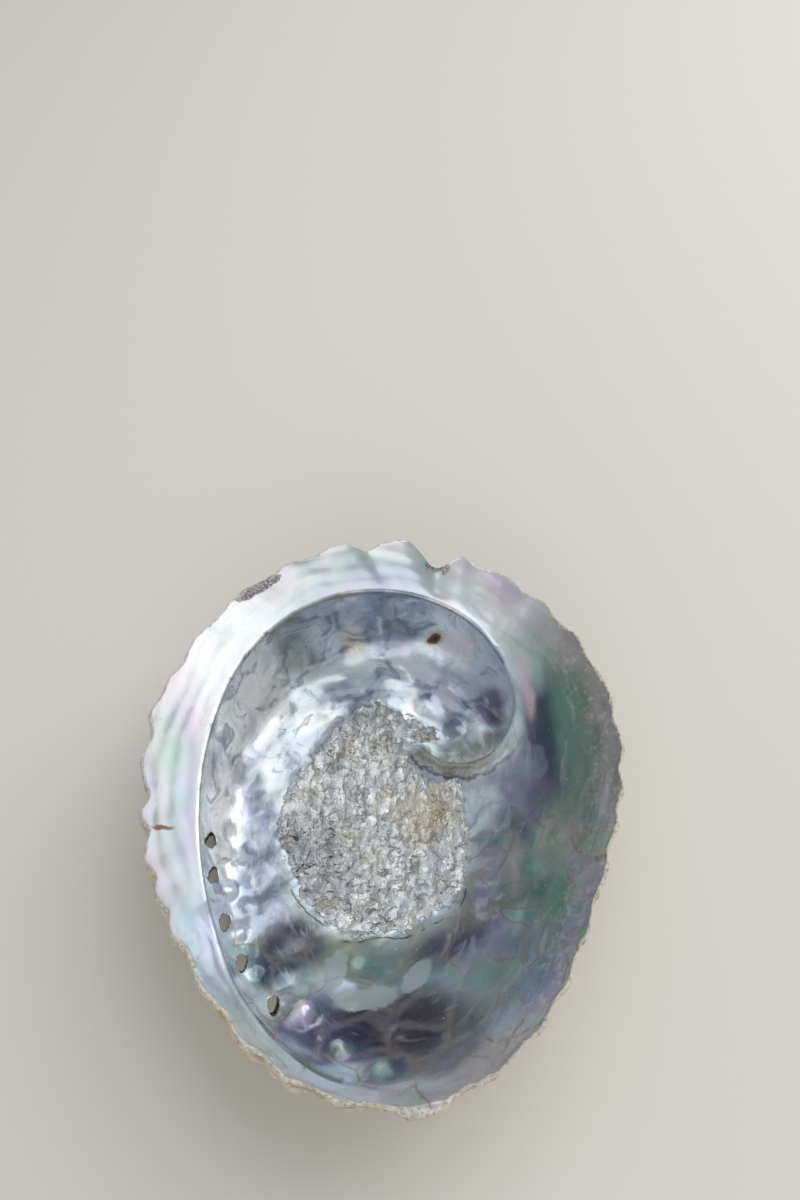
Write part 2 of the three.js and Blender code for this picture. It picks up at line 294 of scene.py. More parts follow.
class Lip:
    """The spiral lip, as radius and height by the degrees wound about its pole from its inner end."""

    POLE = (25.0, 41.0)
    BEAD = 1.5  # radius of its rounded edge
    POINTS = (
        (14, 38, 12),
        (17.5, 31, 15),
        (25.5, 25.3, 19),
        (35, 24.8, 23.5),
        (43, 30.5, 28),
        (46.8, 43, 33),
        (41.5, 57, 38.5),
        (29.5, 69, 44),
        (10, 76.5, 47.5),
        (-14, 75.5, 48.5),
        (-34, 64.5, 48.5),
        (-47.5, 46, 48.5),
        (-54.5, 22, 48.5),
        (-56, 0, 48.5),
        (-53.5, -23, 48.5),
        (-48, -43, 48.5),
        (-40, -61, 48.5),
        (-29, -74.5, 48.5),
        (-15, -84.5, 48.5),
        (1, -90, 48.5),
    )
    # Degrees wound, how far the foot stands out, how far the cavity reaches back, and the shelf's share.
    WALL = (
        (0, 3, 0, 0),
        (90, 4, 1, 0),
        (160, 6, 3, 0),
        (230, 12, 5.5, 1),
        (290, 13, 5.5, 1),
        (350, 11, 5, 1),
        (390, 11, 2, 1),
        (425, 11, 0, 0),
    )

    def __init__(self) -> None:
        """Winds the curve through the points and keeps it as tables by the degrees wound."""
        curve = self.wind(np.array(self.POINTS, float), 24)
        angle = np.degrees(np.unwrap(np.radians(turn_of(curve[:, 0], curve[:, 1], self.POLE))))
        self.start = float(angle[0])
        self.wound = angle - angle[0]
        self.length = float(self.wound[-1])
        self.radii = np.hypot(curve[:, 0] - self.POLE[0], curve[:, 1] - self.POLE[1])
        self.heights = curve[:, 2]

    @staticmethod
    def wind(points: Array, steps: int) -> Array:
        """Runs a centripetal Catmull-Rom curve through points.

        Between two points the curve is the cubic whose end slopes are set by their neighbours, with each
        stretch timed by the square root of its length.

        Args:
            points: The points, one to a row.
            steps: Samples on each stretch.

        Returns:
            The samples, one to a row.
        """
        ends = [2 * points[:1] - points[1:2], points, 2 * points[-1:] - points[-2:-1]]
        line = np.concatenate(ends)
        time = np.sqrt(np.linalg.norm(np.diff(line, axis=0), axis=1))[:, None]
        before, here, there, after = line[:-3], line[1:-2], line[2:-1], line[3:]
        t0, t1, t2 = time[:-2], time[1:-1], time[2:]
        leave = ((here - before) / t0 - (there - before) / (t0 + t1) + (there - here) / t1) * t1
        arrive = ((there - here) / t1 - (after - here) / (t1 + t2) + (after - there) / t2) * t1
        u = np.linspace(0, 1, steps, endpoint=False)[None, :, None]
        cubic = (2 * u**3 - 3 * u**2 + 1) * here[:, None] + (u**3 - 2 * u**2 + u) * leave[:, None]
        cubic = cubic + (3 * u**2 - 2 * u**3) * there[:, None] + (u**3 - u**2) * arrive[:, None]
        return np.concatenate([cubic.reshape(-1, points.shape[1]), points[-1:]])

    def radius(self, wound: Number) -> Array:
        """The lip's distance from its pole."""
        return np.interp(wound, self.wound, self.radii)

    def height(self, wound: Number) -> Array:
        """The height of the lip's top edge."""
        return np.interp(wound, self.wound, self.heights)

    def wall(self, wound: Number) -> tuple[Array, Array, Array]:
        """The wall's foot, undercut and share of shelf at the degrees wound."""
        table = np.array(self.WALL, float)
        return tuple(np.interp(wound, table[:, 0], table[:, column]) for column in (1, 2, 3))


@dataclass
class Wall:
    """The lip's wall along a set of rays: where its foot and its top edge stand."""

    radius: Array
    under: Array
    shelf: Array
    foot_radius: Array
    foot_height: Array
    top: Array


@dataclass
class Skin:
    """The net of the skin, rays by rings, with what each point of it is.

    Station runs 0-1 across the recess, 1-2 up the inner wall, 2-3 across the floor, 3-4 up the outer wall,
    4-5 across the shelf, 5-6 over the margin and 6-7 down the back to the crown.
    """

    points: Array
    station: Array
    wound: Array
    lip_gap: Array
    ridge_gap: Array
    shelf: Array
    calm: Array
    pole: Array
    crown: Array

    def normals(self) -> Array:
        """The unit normals: the cross product of the steps along a ray and round to the next one.

        Returns:
            One normal to a point, facing out of the shell.
        """
        around = np.roll(self.points, -1, axis=0) - np.roll(self.points, 1, axis=0)
        along = np.gradient(self.points, axis=1)
        normal = np.cross(along, around)
        normal = normal + 0.5 * (np.roll(normal, 1, axis=0) + np.roll(normal, -1, axis=0))
        return normal / np.maximum(np.linalg.norm(normal, axis=-1, keepdims=True), 1e-9)

    def egg_gap(self, rim: Rim) -> Array:
        """The distance in from the smooth egg of the rim, level with the plan."""
        x, y = self.points[..., 0], self.points[..., 1]
        return rim.egg(turn_of(x, y, rim.centre)) - np.hypot(x - rim.centre[0], y - rim.centre[1])

    def flow(self, rim: Rim) -> Array:
        """Coordinates in which a pattern is drawn out five times along the rim: (84 cos, 84 sin, 5 gaps).

        Args:
            rim: The rim that the pattern follows.

        Returns:
            The coordinates, in the last axis.
        """
        turn = np.radians(turn_of(self.points[..., 0], self.points[..., 1], rim.centre))
        drawn = [rim.mean_radius * np.cos(turn), rim.mean_radius * np.sin(turn), 5.0 * self.egg_gap(rim)]
        return np.stack(drawn, axis=-1) * MM

    def from_margin(self) -> Array:
        """The distance from the rim's outer edge, measured along the skin of each ray.

        Returns:
            One distance to a point.
        """
        steps = np.linalg.norm(np.diff(self.points, axis=1), axis=-1)
        run = np.concatenate([np.zeros((len(steps), 1)), np.cumsum(steps, axis=1)], axis=1)
        edge = int(np.argmin(np.abs(self.station[0] - 5.5)))
        return np.abs(run - run[:, edge : edge + 1])


@dataclass
class Form:
    """The bare form: the bowl, the walls under the spiral lip, the shelf, the margin and the back."""

    rays: int = 420
    recess_rings: int = 14
    inner_wall_rings: int = 26
    floor_rings: int = 84
    outer_wall_rings: int = 26
    shelf_rings: int = 22
    back_rings: int = 58
    floor_height: float = 7.0
    crown: tuple[float, float] = (-10.0, 19.0)
    floor_thickness: float = 8.4
    edge_right: float = 2.2
    edge_left: float = 3.8
    margin_round: float = 0.8  # how far the margin's upper edge is rounded over
    recess_depth: float = 2.5
    recess_radius: float = 14.0
    scar_centre: tuple[float, float] = (-1.0, 8.0)
    scar_size: tuple[float, float] = (32.0, 43.0)
    scar_height: float = 0.35
    passing: tuple[float, float] = (130.0, 215.0)  # degrees wound over which the wall moves outwards
    nowhere: float = 999.0  # a radius that stands for no lip
    rim: Rim = field(default_factory=Rim)
    lip: Lip = field(default_factory=Lip)
    grain: Lattice = field(default_factory=lambda: Lattice(11))

    def depth_outside(self, wound: Number) -> Array:
        """How deep the bowl lies outside the lip's first turn: 1 is the deep cavity, 0 the plain wall."""
        return smooth(90.0, 10.0, wound)

    def scar_reach(self, x: Array, y: Array) -> Array:
        """The distance from the scar's middle in shares of its half-sizes, with a wavering outline.

        Args:
            x, y: Places in the plan.

        Returns:
            The reach, which is 1 on the outline.
        """
        across = (x - self.scar_centre[0]) / self.scar_size[0]
        along = (y - self.scar_centre[1]) / self.scar_size[1]
        angle = np.arctan2(along, across)
        waver = 0.035 * np.sin(3 * angle + 0.6) + 0.03 * np.sin(5 * angle + 2.0) + 0.02 * np.sin(11 * angle)
        return np.hypot(across, along) * (1.0 + waver)

    def bowl(self, x: Array, y: Array, depth: Number) -> Array:
        """The height of the bowl's inside over the plan.

        The plain wall climbs from the floor to the rim as the 2.1 power of the share of the way out. The
        deep cavity is a shallow dish about the crown with a bell-shaped hollow at the lip's pole.

        Args:
            x: Places across.
            y: Places along.
            depth: 0 for the plain wall, 1 for the deep cavity.

        Returns:
            The height at each place.
        """
        angle = turn_of(x, y, self.rim.centre)
        reach = np.hypot(x - self.rim.centre[0], y - self.rim.centre[1])
        out = np.minimum(1.0, reach / self.rim.egg(angle))
        plain = self.floor_height + (self.rim.top(angle) - self.floor_height) * out**2.1
        to_pole = np.hypot(x - Lip.POLE[0], y - Lip.POLE[1]) / self.recess_radius
        to_crown = np.hypot(x - self.crown[0], y - self.crown[1])
        deep = self.floor_height + 5.0 * (to_crown / 62.0) ** 2 - self.recess_depth * np.exp(-to_pole**2)
        return mix(plain, deep, depth * smooth(1.0, 0.75, out))

    def depth_over(self, x: Array, y: Array) -> Array:
        """How deep the bowl lies over a point of the plan, with the walls under the lip smoothed out.

        Args:
            x, y: Places in the plan.

        Returns:
            The share of the depth at each place.
        """
        reach = np.hypot(x - Lip.POLE[0], y - Lip.POLE[1])
        wound = wrap(turn_of(x, y, Lip.POLE), self.lip.start) - self.lip.start
        edge = self.lip.radius(wound)
        return np.maximum(smooth(edge + 16.0, edge + 4.0, reach), self.depth_outside(wound))

    def wall_curve(self, wall: Wall, t: Array) -> tuple[Array, Array]:
        """The wall under the lip, from its foot (t = 0) to the top of the lip's bead (t = 1).

        It is a quarter ellipse from the foot up to the back of the hollow, a quarter ellipse forward under
        the lip, and a half circle round the bead.

        Args:
            wall: The wall along each ray.
            t: The share of the way up.

        Returns:
            Radius from the pole, and height.
        """
        bead = Lip.BEAD
        under_lip = wall.top - 2 * bead
        hollow = under_lip - np.minimum(9.0, 0.35 * np.maximum(0.0, under_lip - wall.foot_height))
        back = wall.radius + wall.under
        centre = wall.radius + bead
        up = np.clip(t, 0, 0.5) * math.pi
        forward = np.clip(t - 0.5, 0, 0.25) / 0.5 * math.pi
        over = np.clip(t - 0.75, 0, 0.25) / 0.25 * math.pi
        rising = t < 0.5
        radius = np.where(rising, mix(wall.foot_radius, back, np.sin(up)), mix(centre, back, np.cos(forward)))
        climb = mix(wall.foot_height, hollow, 1 - np.cos(up))
        height = np.where(rising, climb, mix(hollow, under_lip, np.sin(forward)))
        radius = np.where(t < 0.75, radius, centre - bead * np.sin(over))
        return radius, np.where(t < 0.75, height, wall.top - bead - bead * np.cos(over))

    def stations(self) -> Array:
        """The stations of the rings that lie inside the rim, with each stretch evenly divided.

        Returns:
            One row of stations.
        """
        counts = (
            self.recess_rings,
            self.inner_wall_rings,
            self.floor_rings,
            self.outer_wall_rings,
            self.shelf_rings,
        )
        runs = [lane + (np.arange(count) + 1) / count for lane, count in enumerate(counts)]
        return np.concatenate(runs)[None, :]

    def build(self) -> Skin:
        """Works out the whole net.

        Returns:
            The skin, with one row to a ray and one column to a ring.
        """
        angle = (np.arange(self.rays) * 360.0 / self.rays)[:, None]
        rim = self.rim.radius(angle, self.grain)
        top = self.rim.top(angle)
        dx = self.rim.centre[0] + rim * np.cos(np.radians(angle)) - Lip.POLE[0]
        dy = self.rim.centre[1] + rim * np.sin(np.radians(angle)) - Lip.POLE[1]
        length = np.hypot(dx, dy)
        wound = wrap(np.degrees(np.arctan2(dy, dx)), self.lip.start) - self.lip.start
        u = self.stations()

        def plan(radius: Array) -> tuple[Array, Array]:
            """Places along the rays at a radius from the pole."""
            return Lip.POLE[0] + dx / length * radius, Lip.POLE[1] + dy / length * radius

        def floor_at(radius: Array, depth: Number) -> Array:
            """The bowl's height along the rays, with the low step of the scar on it."""
            x, y = plan(radius)
            return self.bowl(x, y, depth) + self.scar_height * smooth(1.08, 0.94, self.scar_reach(x, y))

        def raise_wall(turned: Array, depth: Number) -> Wall:
            """The wall that the lip stands on after the given degrees of winding.

            Args:
                turned: Degrees wound.
                depth: The share of the bowl's depth beside it.

            Returns:
                The wall, one row to a ray.
            """
            foot, under, shelf = self.lip.wall(turned)
            radius = self.lip.radius(turned)
            height = floor_at(radius - foot, depth)
            return Wall(radius, under, shelf, radius - foot, height, self.lip.height(turned))

        outside = self.depth_outside(wound)
        twice = wound + 360.0 < self.lip.length
        passed = smooth(*self.passing, wound)
        inner = raise_wall(wound, 1.0)
        outer = raise_wall(np.minimum(wound + 360.0, self.lip.length), outside)
        last_radius = self.lip.radius(self.lip.length)
        hold_radius = np.where(twice, outer.radius, np.minimum(last_radius, 0.95 * length))
        tip_foot = float(self.lip.wall(self.lip.length)[0])
        hold_foot = hold_radius - tip_foot * np.minimum(1.0, last_radius / length)
        hold_foot = np.where(twice, outer.foot_radius, hold_foot)

        wall_start = mix(1.0, 3.0, passed)
        wall_end = mix(2.0, 4.0, passed)
        lip_top = inner.radius + Lip.BEAD
        reach = length - self.margin_round
        first_radius = float(self.lip.radius(0.0))
        first_foot = first_radius - float(self.lip.wall(0.0)[0])

        pinned = through_stations(
            u,
            [
                (0.0, 0.0),
                (1.0, first_foot),
                (2.0, first_radius + Lip.BEAD),
                (np.maximum(wall_start, 2.001), inner.foot_radius),
            ],
        )
        before = mix(inner.foot_radius * u / wall_start, pinned, smooth(self.passing[1], 360.0, wound))
        even = mix(lip_top, reach, (u - wall_end) / (5.0 - wall_end))
        pinned = through_stations(
            u,
            [(wall_end, lip_top), (3.0, hold_foot), (4.0, hold_radius + Lip.BEAD), (5.0, reach)],
        )
        after = mix(pinned, even, smooth(self.lip.length - 360.0, self.passing[0], wound))

        def shelf_height(radius: Array, wall: Wall) -> Array:
            """The shelf climbs from the lip to the rim as the 1.3 power of the way across it."""
            start = wall.radius + Lip.BEAD
            return mix(wall.top, top, np.clip((radius - start) / (reach - start), 0.0, 1.0) ** 1.3)

        lip_rise = inner.top - floor_at(lip_top, outside)
        ridge = lip_rise * np.exp(-np.maximum(0.0, after - lip_top) / 5.0) * (wound < self.passing[1])
        shown = smooth(0.0, 25.0, wound)
        open_height = floor_at(after, outside) + ridge * shown

        radius = np.where(u <= wall_start, before, after)
        height = np.where(u <= wall_start, floor_at(before, 1.0), 0.0)
        climbing = (u > wall_start) & (u < wall_end)
        climb = np.clip((u - wall_start) / (wall_end - wall_start), 0.0, 1.0)
        wall_radius, wall_height = self.wall_curve(inner, climb)
        plain_radius = mix(inner.foot_radius, lip_top, climb)
        radius = np.where(climbing, mix(plain_radius, wall_radius, shown), radius)
        height = np.where(climbing, mix(floor_at(plain_radius, 1.0), wall_height, shown), height)

        second = twice & (u >= 3.0) & (u >= wall_end)
        climb = np.clip(u - 3.0, 0.0, 1.0)
        wall_radius, wall_height = self.wall_curve(outer, climb)
        wall_radius = np.where(climb < 1.0, wall_radius, after)
        wall_height = np.where(climb < 1.0, wall_height, shelf_height(after, outer))
        radius = np.where(second, mix(after, wall_radius, outer.shelf), radius)
        height = np.where(second, mix(open_height, wall_height, outer.shelf), height)
        single = (u >= wall_end) & ~second
        height = np.where(single, mix(open_height, shelf_height(after, inner), inner.shelf), height)

        x, y = plan(radius)
        inside = np.stack([x, y, height], axis=-1)
        shelf_share = np.where(twice, outer.shelf, inner.shelf)
        thick = mix(self.edge_right, self.edge_left, shelf_share)
        turns = np.array([[0.12, 0.3, 0.5, 0.75, 1.0]])
        over = length - self.margin_round * (1 - np.sin(np.minimum(turns, 0.5) * math.pi))
        x, y = plan(over - 0.6 * np.maximum(0, turns - 0.5) * 2)
        margin = np.stack([x, y, top - thick * turns], axis=-1)
        back = self.back(angle, margin[:, -1])
        points = np.concatenate([inside, margin, back], axis=1)

        down_back = (np.arange(self.back_rings) + 1) / (self.back_rings + 1)
        station = np.concatenate([u[0], 5.0 + turns[0], 6.0 + down_back])
        station = np.broadcast_to(station, points.shape[:2])
        spread = np.hypot(points[..., 0] - Lip.POLE[0], points[..., 1] - Lip.POLE[1])
        single_lip = np.where(wound > self.passing[0], inner.radius, self.nowhere)
        lip_gap = spread - np.where(twice, outer.radius, single_lip)
        on_shelf = np.where(twice, station >= 4.0, station >= wall_end) & (station < 6.0)
        up_wall = np.where(twice, station - 3.0, station - wall_start)
        wall_zone = smooth(0.05, 0.35, up_wall) * smooth(1.25, 1.0, up_wall)
        first_zone = smooth(0.0, 0.3, station - wall_start) * smooth(1.3, 1.0, station - wall_start) * shown
        return Skin(
            points=points,
            station=station,
            wound=np.broadcast_to(wound, station.shape),
            lip_gap=lip_gap,
            ridge_gap=spread - inner.radius,
            shelf=shelf_share * on_shelf,
            calm=np.clip(np.maximum(wall_zone * shelf_share, first_zone), 0.0, 1.0) * (station < 5.0),
            pole=np.array([*Lip.POLE, float(self.bowl(Lip.POLE[0], Lip.POLE[1], 1.0))]),
            crown=np.array([*self.crown, 0.0]),
        )

    def back(self, rim_angle: Array, edge: Array) -> Array:
        """The back, from the rim's outer edge in to the crown.

        It keeps a wall's thickness below the bowl. On the sides that carry the shelf it bulges further,
        along a superellipse of power 2.5, to pass round the cavity.

        Args:
            rim_angle: Degrees about the bowl's centre, one to a ray.
            edge: The rim's outer lower edge on each ray.

        Returns:
            The points of the back, rays by rings.
        """
        egg = self.rim.egg(rim_angle)
        plain_x = self.rim.centre[0] + egg * np.cos(np.radians(rim_angle))
        plain_y = self.rim.centre[1] + egg * np.sin(np.radians(rim_angle))
        angle = wrap(rim_angle, -68.0)
        bulging = smooth(8.0, 42.0, angle) * smooth(290.0, 245.0, angle)
        edge_x, edge_y, edge_z = (edge[:, axis : axis + 1] for axis in range(3))
        thinning = self.rim.top(rim_angle) - edge_z
        f = 1.0 - ((np.arange(self.back_rings) + 1) / (self.back_rings + 1))[None, :] ** 1.25
        rough = smooth(0.6, 1.0, f)
        x = mix(self.crown[0], mix(plain_x, edge_x, rough), f)
        y = mix(self.crown[1], mix(plain_y, edge_y, rough), f)
        parallel = self.bowl(x, y, self.depth_over(x, y)) - mix(self.floor_thickness, thinning, f)
        bulge = edge_z * (1.0 - (1.0 - f**2.5) ** (1 / 2.5))
        height = np.maximum(0.0, mix(parallel, np.minimum(parallel, bulge), bulging))
        return np.stack([x, y, height], axis=-1)


# ---------------------------------------------------------------------------------------------------------
# Relief raised on the form
# ---------------------------------------------------------------------------------------------------------


@dataclass(frozen=True)
class Knob:
    """A rounded rise (height above 0) or dimple (below 0) at a place of the plan."""

    x: float
    y: float
    radius: float
    height: float

    def reach(self, x: Array, y: Array, warp: Array) -> Array:
        """The distance from its middle in shares of its radius, with its outline bent by noise."""
        return np.hypot(x - self.x, y - self.y) / self.radius + 0.22 * warp

    def rise(self, x: Array, y: Array) -> Array:
        """A dome whose height falls as the square of 1 - (distance / radius) squared."""
        share = np.clip(1.0 - np.hypot(x - self.x, y - self.y) ** 2 / self.radius**2, 0.0, 1.0)
        return self.height * share * share


@dataclass(frozen=True)
class Pore:
    """A breathing pore: an oval tube through the floor, leaning towards the growing tip."""

    x: float
    y: float
    half_width: float = 1.6
    half_length: float = 2.6
    lean_to_tip: float = 20.0
    lean_to_right: float = 9.0
    pinch: float = 0.2  # how far the oval is worn out of round

    def tube(self, sides: int, reach: float = 20.0, middle: float = 16.0) -> tuple[Array, list[list[int]]]:
        """A closed prism, leant over, whose ends are ovals of half width * cos and half length * sin.

        The ovals are worn out of round by one wave and by three waves to the turn.

        Args:
            sides: Corners round the oval.
            reach: Half its length.
            middle: The height of its middle.

        Returns:
            The corners, and the faces.
        """
        turn = np.linspace(0, 2 * math.pi, sides, endpoint=False)
        worn = 1.0 - self.pinch * np.sin(turn + self.x) + 0.5 * self.pinch * np.sin(3.0 * turn + self.y)
        across, along = self.half_width * worn * np.cos(turn), self.half_length * worn * np.sin(turn)
        oval = np.stack([across, along, np.zeros(sides)], -1)
        ends = np.concatenate([oval + [0, 0, -reach], oval + [0, 0, reach]])
        a, b = math.radians(self.lean_to_tip), math.radians(self.lean_to_right)
        about_x = np.array([[1, 0, 0], [0, math.cos(a), -math.sin(a)], [0, math.sin(a), math.cos(a)]])
        about_y = np.array([[math.cos(b), 0, math.sin(b)], [0, 1, 0], [-math.sin(b), 0, math.cos(b)]])
        corners = ends @ (about_y @ about_x).T + [self.x, self.y, middle]
        sides_of = [[i, (i + 1) % sides, sides + (i + 1) % sides, sides + i] for i in range(sides)]
        caps = [list(range(sides))[::-1], list(range(sides, 2 * sides))]
        return corners, sides_of + caps


PORES = (
    Pore(-57, -3),
    Pore(-54.5, -16),
    Pore(-49.5, -31),
    Pore(-43, -44),
    Pore(-33, -57),
)


@dataclass
class Relief:
    """What stands proud of the bare form, or is sunk in it, along the skin's normals."""

    form: Form
    blisters: tuple[Knob, ...] = (
        Knob(-22.5, -62.5, 6.5, 4.2),
        Knob(-11.5, -75, 5.5, 3.4),
        Knob(0.2, -83.0, 4.5, 2.6),
        Knob(-30.5, -49, 6.0, 2.0),
        Knob(-17.5, -69.5, 3.2, 1.3),
        Knob(-27, -56, 3.4, 1.0),
    )
    pore_mounds: tuple[Knob, ...] = (
        Knob(-53.0, -7.0, 4.4, 2.1),
        Knob(-50.5, -20.5, 4.8, 2.4),
        Knob(-45.0, -35, 4.8, 2.3),
        Knob(-39.0, -47.0, 5.0, 2.5),
        Knob(-29.5, -59.5, 4.2, 1.8),
        Knob(-48.0, -11, 3.6, 1.2),
        Knob(-44.0, -25, 4.0, 1.2),
        Knob(-54.0, 3.5, 3.6, 1.1),
        Knob(-54.5, 14.0, 3.6, 0.9),
        Knob(-56.2, 20.5, 2.6, -1.2),
        Knob(-56.4, 7.0, 2.6, -1.2),
    )
    soft_folds: tuple[Knob, ...] = (
        Knob(-46, 30, 11, 1.3),
        Knob(-50, 8, 9, 1.0),
        Knob(-44, -12, 10, 1.1),
        Knob(-36, 58, 12, 1.0),
        Knob(-16, 66, 12, -1.0),
        Knob(3, 62, 9, 1.2),
        Knob(16, 70, 8, 1.3),
        Knob(26, 60, 9, 1.0),
        Knob(36, 66, 7, -0.8),
        Knob(17, 53, 7, 0.9),
        Knob(27, 44, 5, 1.0),
        Knob(-5, -62, 12, -1.4),
        Knob(10, -72, 9, 1.0),
        Knob(22, -60, 11, 0.9),
        Knob(38, -52, 10, -0.8),
        Knob(44, -30, 10, 0.9),
        Knob(50, -5, 8, 0.8),
        Knob(52, 22, 7, -0.9),
        Knob(-14, -50, 8, 0.9),
        Knob(-4, -47, 6, -0.9),
        Knob(57.5, -10, 3.2, 0.8),
    )
    scar_lumps: tuple[Knob, ...] = (
        Knob(-14, 43, 4.0, 1.3),
        Knob(-8, 47, 4.2, 1.5),
        Knob(-1, 46, 4.4, 1.7),
        Knob(5, 48, 4.0, 1.4),
        Knob(11, 43, 4.4, 1.5),
        Knob(-20, 37, 4.0, 1.0),
        Knob(2, 40, 3.2, 1.2),
        Knob(-6, 40, 3.2, 1.1),
        Knob(9, 36, 3.4, 1.0),
        Knob(-28, 22, 4.0, 1.0),
        Knob(-29, 8, 4.0, 1.1),
        Knob(-26, -12, 5.0, 1.0),
        Knob(-18, -25, 5.0, 1.1),
        Knob(-6, -32, 4.5, 0.8),
        Knob(-21, 0, 3.5, -1.0),
        Knob(-13, -29, 2.6, -1.1),
    )
    discs: tuple[Knob, ...] = (
        Knob(24, -30, 9.0, 1.6),
        Knob(-44, 30, 7.0, 1.4),
        Knob(40, 30, 8.0, 1.5),
        Knob(-22, -48, 6.0, 1.3),
        Knob(8, 68, 7.0, 1.4),
    )
    barnacle: Knob = Knob(48, -16, 7.5, 4.6)
    barnacle_ribs: int = 7
    step_width: float = 7.5  # from one growth step of the back to the next
    nodule_size: float = 4.4
    lump_size: float = 11.0
    worn_height: float = 7.0  # below this the crown is worn smooth

    def scar_share(self, skin: Skin) -> Array:
        """How far a point belongs to the muscle scar: 1 well inside its outline, 0 outside it.

        Args:
            skin: The skin.

        Returns:
            The share of each point.
        """
        x, y = skin.points[..., 0], skin.points[..., 1]
        grain = Lattice(5).layered(skin.points / 6.0, 3)
        clear = np.where(skin.wound < 200.0, smooth(4.5, 8.5, skin.ridge_gap + 1.5 * grain), 1.0)
        return smooth(1.08, 0.92, self.form.scar_reach(x, y) + 0.07 * grain) * (skin.station < 5.0) * clear

    def pearl(self, skin: Skin) -> Array:
        """The rises of the pearl side: slow swells, folds, blisters and the mounds beside the pores.

        Args:
            skin: The skin.

        Returns:
            The rise of each point, in millimetres.
        """
        points = skin.points
        x, y = points[..., 0], points[..., 1]
        low = smooth(46.0, 42.0, points[..., 2])
        swell = 1.05 * Lattice(21).layered(points / 15.0, 2) + 0.30 * Lattice(22).layered(points / 6.0, 2)
        swell = swell * mix(1.0, 0.42, skin.shelf) * smooth(0.5, 6.0, skin.from_margin())
        for knob in self.blisters + self.pore_mounds + self.soft_folds:
            swell = swell + knob.rise(x, y) * low
        gap = skin.egg_gap(self.form.rim)
        ripple = 0.10 * np.sin(gap * 2.0 * math.pi / 5.2 + 4.0 * Lattice(23).layered(points / 16.0, 2))
        shelfy = np.maximum(skin.shelf, smooth(25.0, 12.0, skin.from_margin()))
        return swell + ripple * shelfy * smooth(1.0, 4.0, skin.from_margin())

    def scar(self, skin: Skin) -> Array:
        """The scar: streaks along it in its upper half, crumpled foil below, and lumps round its edge.

        Args:
            skin: The skin.

        Returns:
            The rise of each point, in millimetres.
        """
        points = skin.points
        x, y = points[..., 0], points[..., 1]
        crumple = 1.5 * Lattice(31).layered(points / 2.8, 3)
        streak = Lattice(32).value(points / np.array([1.3, 9.0, 9.0])) * 0.35
        streak = streak + 0.3 * Lattice(34).layered(points / np.array([2.4, 12.0, 9.0]), 1)
        upper = smooth(2.0, 14.0, y) * smooth(18.0, 6.0, x)
        heave = 0.9 * Lattice(35).layered(points / 6.0, 2)
        rise = mix(crumple + heave, streak + 0.5 * crumple + 0.4 * heave, upper)
        smooth_patch = np.exp(-(((x - 15) / 11.0) ** 2 + ((y - 8) / 12.0) ** 2))
        rise = rise * (1.0 - 0.75 * smooth_patch)
        for lump in self.scar_lumps:
            rise = rise + lump.rise(x, y)
        ledge = 0.7 * smooth(0.8, -0.8, y - 5.5 - 0.12 * x - Lattice(33).value(points / 6.0) * 2.0)
        ledge = ledge * smooth(-4.0, -10.0, x)
        return rise - ledge

    def back(self, skin: Skin) -> Array:
        """The back: growth steps, knobbly nodules towards the margin, discs of spat and one barnacle.

        Args:
            skin: The skin.

        Returns:
            The rise of each point, in millimetres.
        """
        points = skin.points
        x, y, z = points[..., 0], points[..., 1], points[..., 2]
        outward = skin.from_margin()
        warp = Lattice(41).layered(points / 18.0, 3)
        fine_warp = Lattice(45).layered(points / 7.0, 3)
        step = (outward / self.step_width + 0.9 * warp) % 1.0
        steps = 0.9 * (smooth(0.0, 0.75, step) - smooth(0.75, 1.0, step)) - 0.45
        seed, owner = Lattice(42).nearest_seed(points / self.nodule_size + 0.35 * warp[..., None])
        nodules = (0.6 + 0.9 * owner) * (1.0 - np.minimum(1.0, seed / 0.72) ** 2)
        coarse, coarse_owner = Lattice(43).nearest_seed(points / self.lump_size)
        lumps = 1.5 * np.maximum(0.0, coarse_owner - 0.35) * (1.0 - np.minimum(1.0, coarse / 0.8) ** 2)
        grit = 0.45 * Lattice(44).layered(points / 2.2, 2)
        edge_fade = smooth(0.3, 4.0, outward)
        rise = (0.55 * steps + 1.35 * nodules + lumps + grit) * edge_fade
        for disc in self.discs:
            reach = disc.reach(x, y, fine_warp)
            rolled = 0.25 * np.exp(-(((reach - 0.93) / 0.08) ** 2))
            rise = mix(rise, disc.height * (0.9 - 0.35 * reach**2) + rolled, smooth(1.05, 0.9, reach))
        reach = np.hypot(x - self.barnacle.x, y - self.barnacle.y) / self.barnacle.radius
        cone = self.barnacle.height * np.clip(1.15 - reach, 0.0, 0.75) * smooth(0.12, 0.34, reach)
        about = np.arctan2(y - self.barnacle.y, x - self.barnacle.x)
        ribs = 0.35 * np.cos(self.barnacle_ribs * about) * smooth(0.2, 0.6, reach)
        rise = mix(rise, cone * 1.25 + ribs, smooth(1.1, 0.95, reach))
        for pore in PORES:
            reach = np.hypot(x - pore.x + 3.0, y - pore.y - 3.0)
            rise = rise + 1.6 * np.exp(-(((reach - 4.2) / 1.8) ** 2))
        return rise * mix(0.12, 1.0, smooth(0.0, self.worn_height, z))

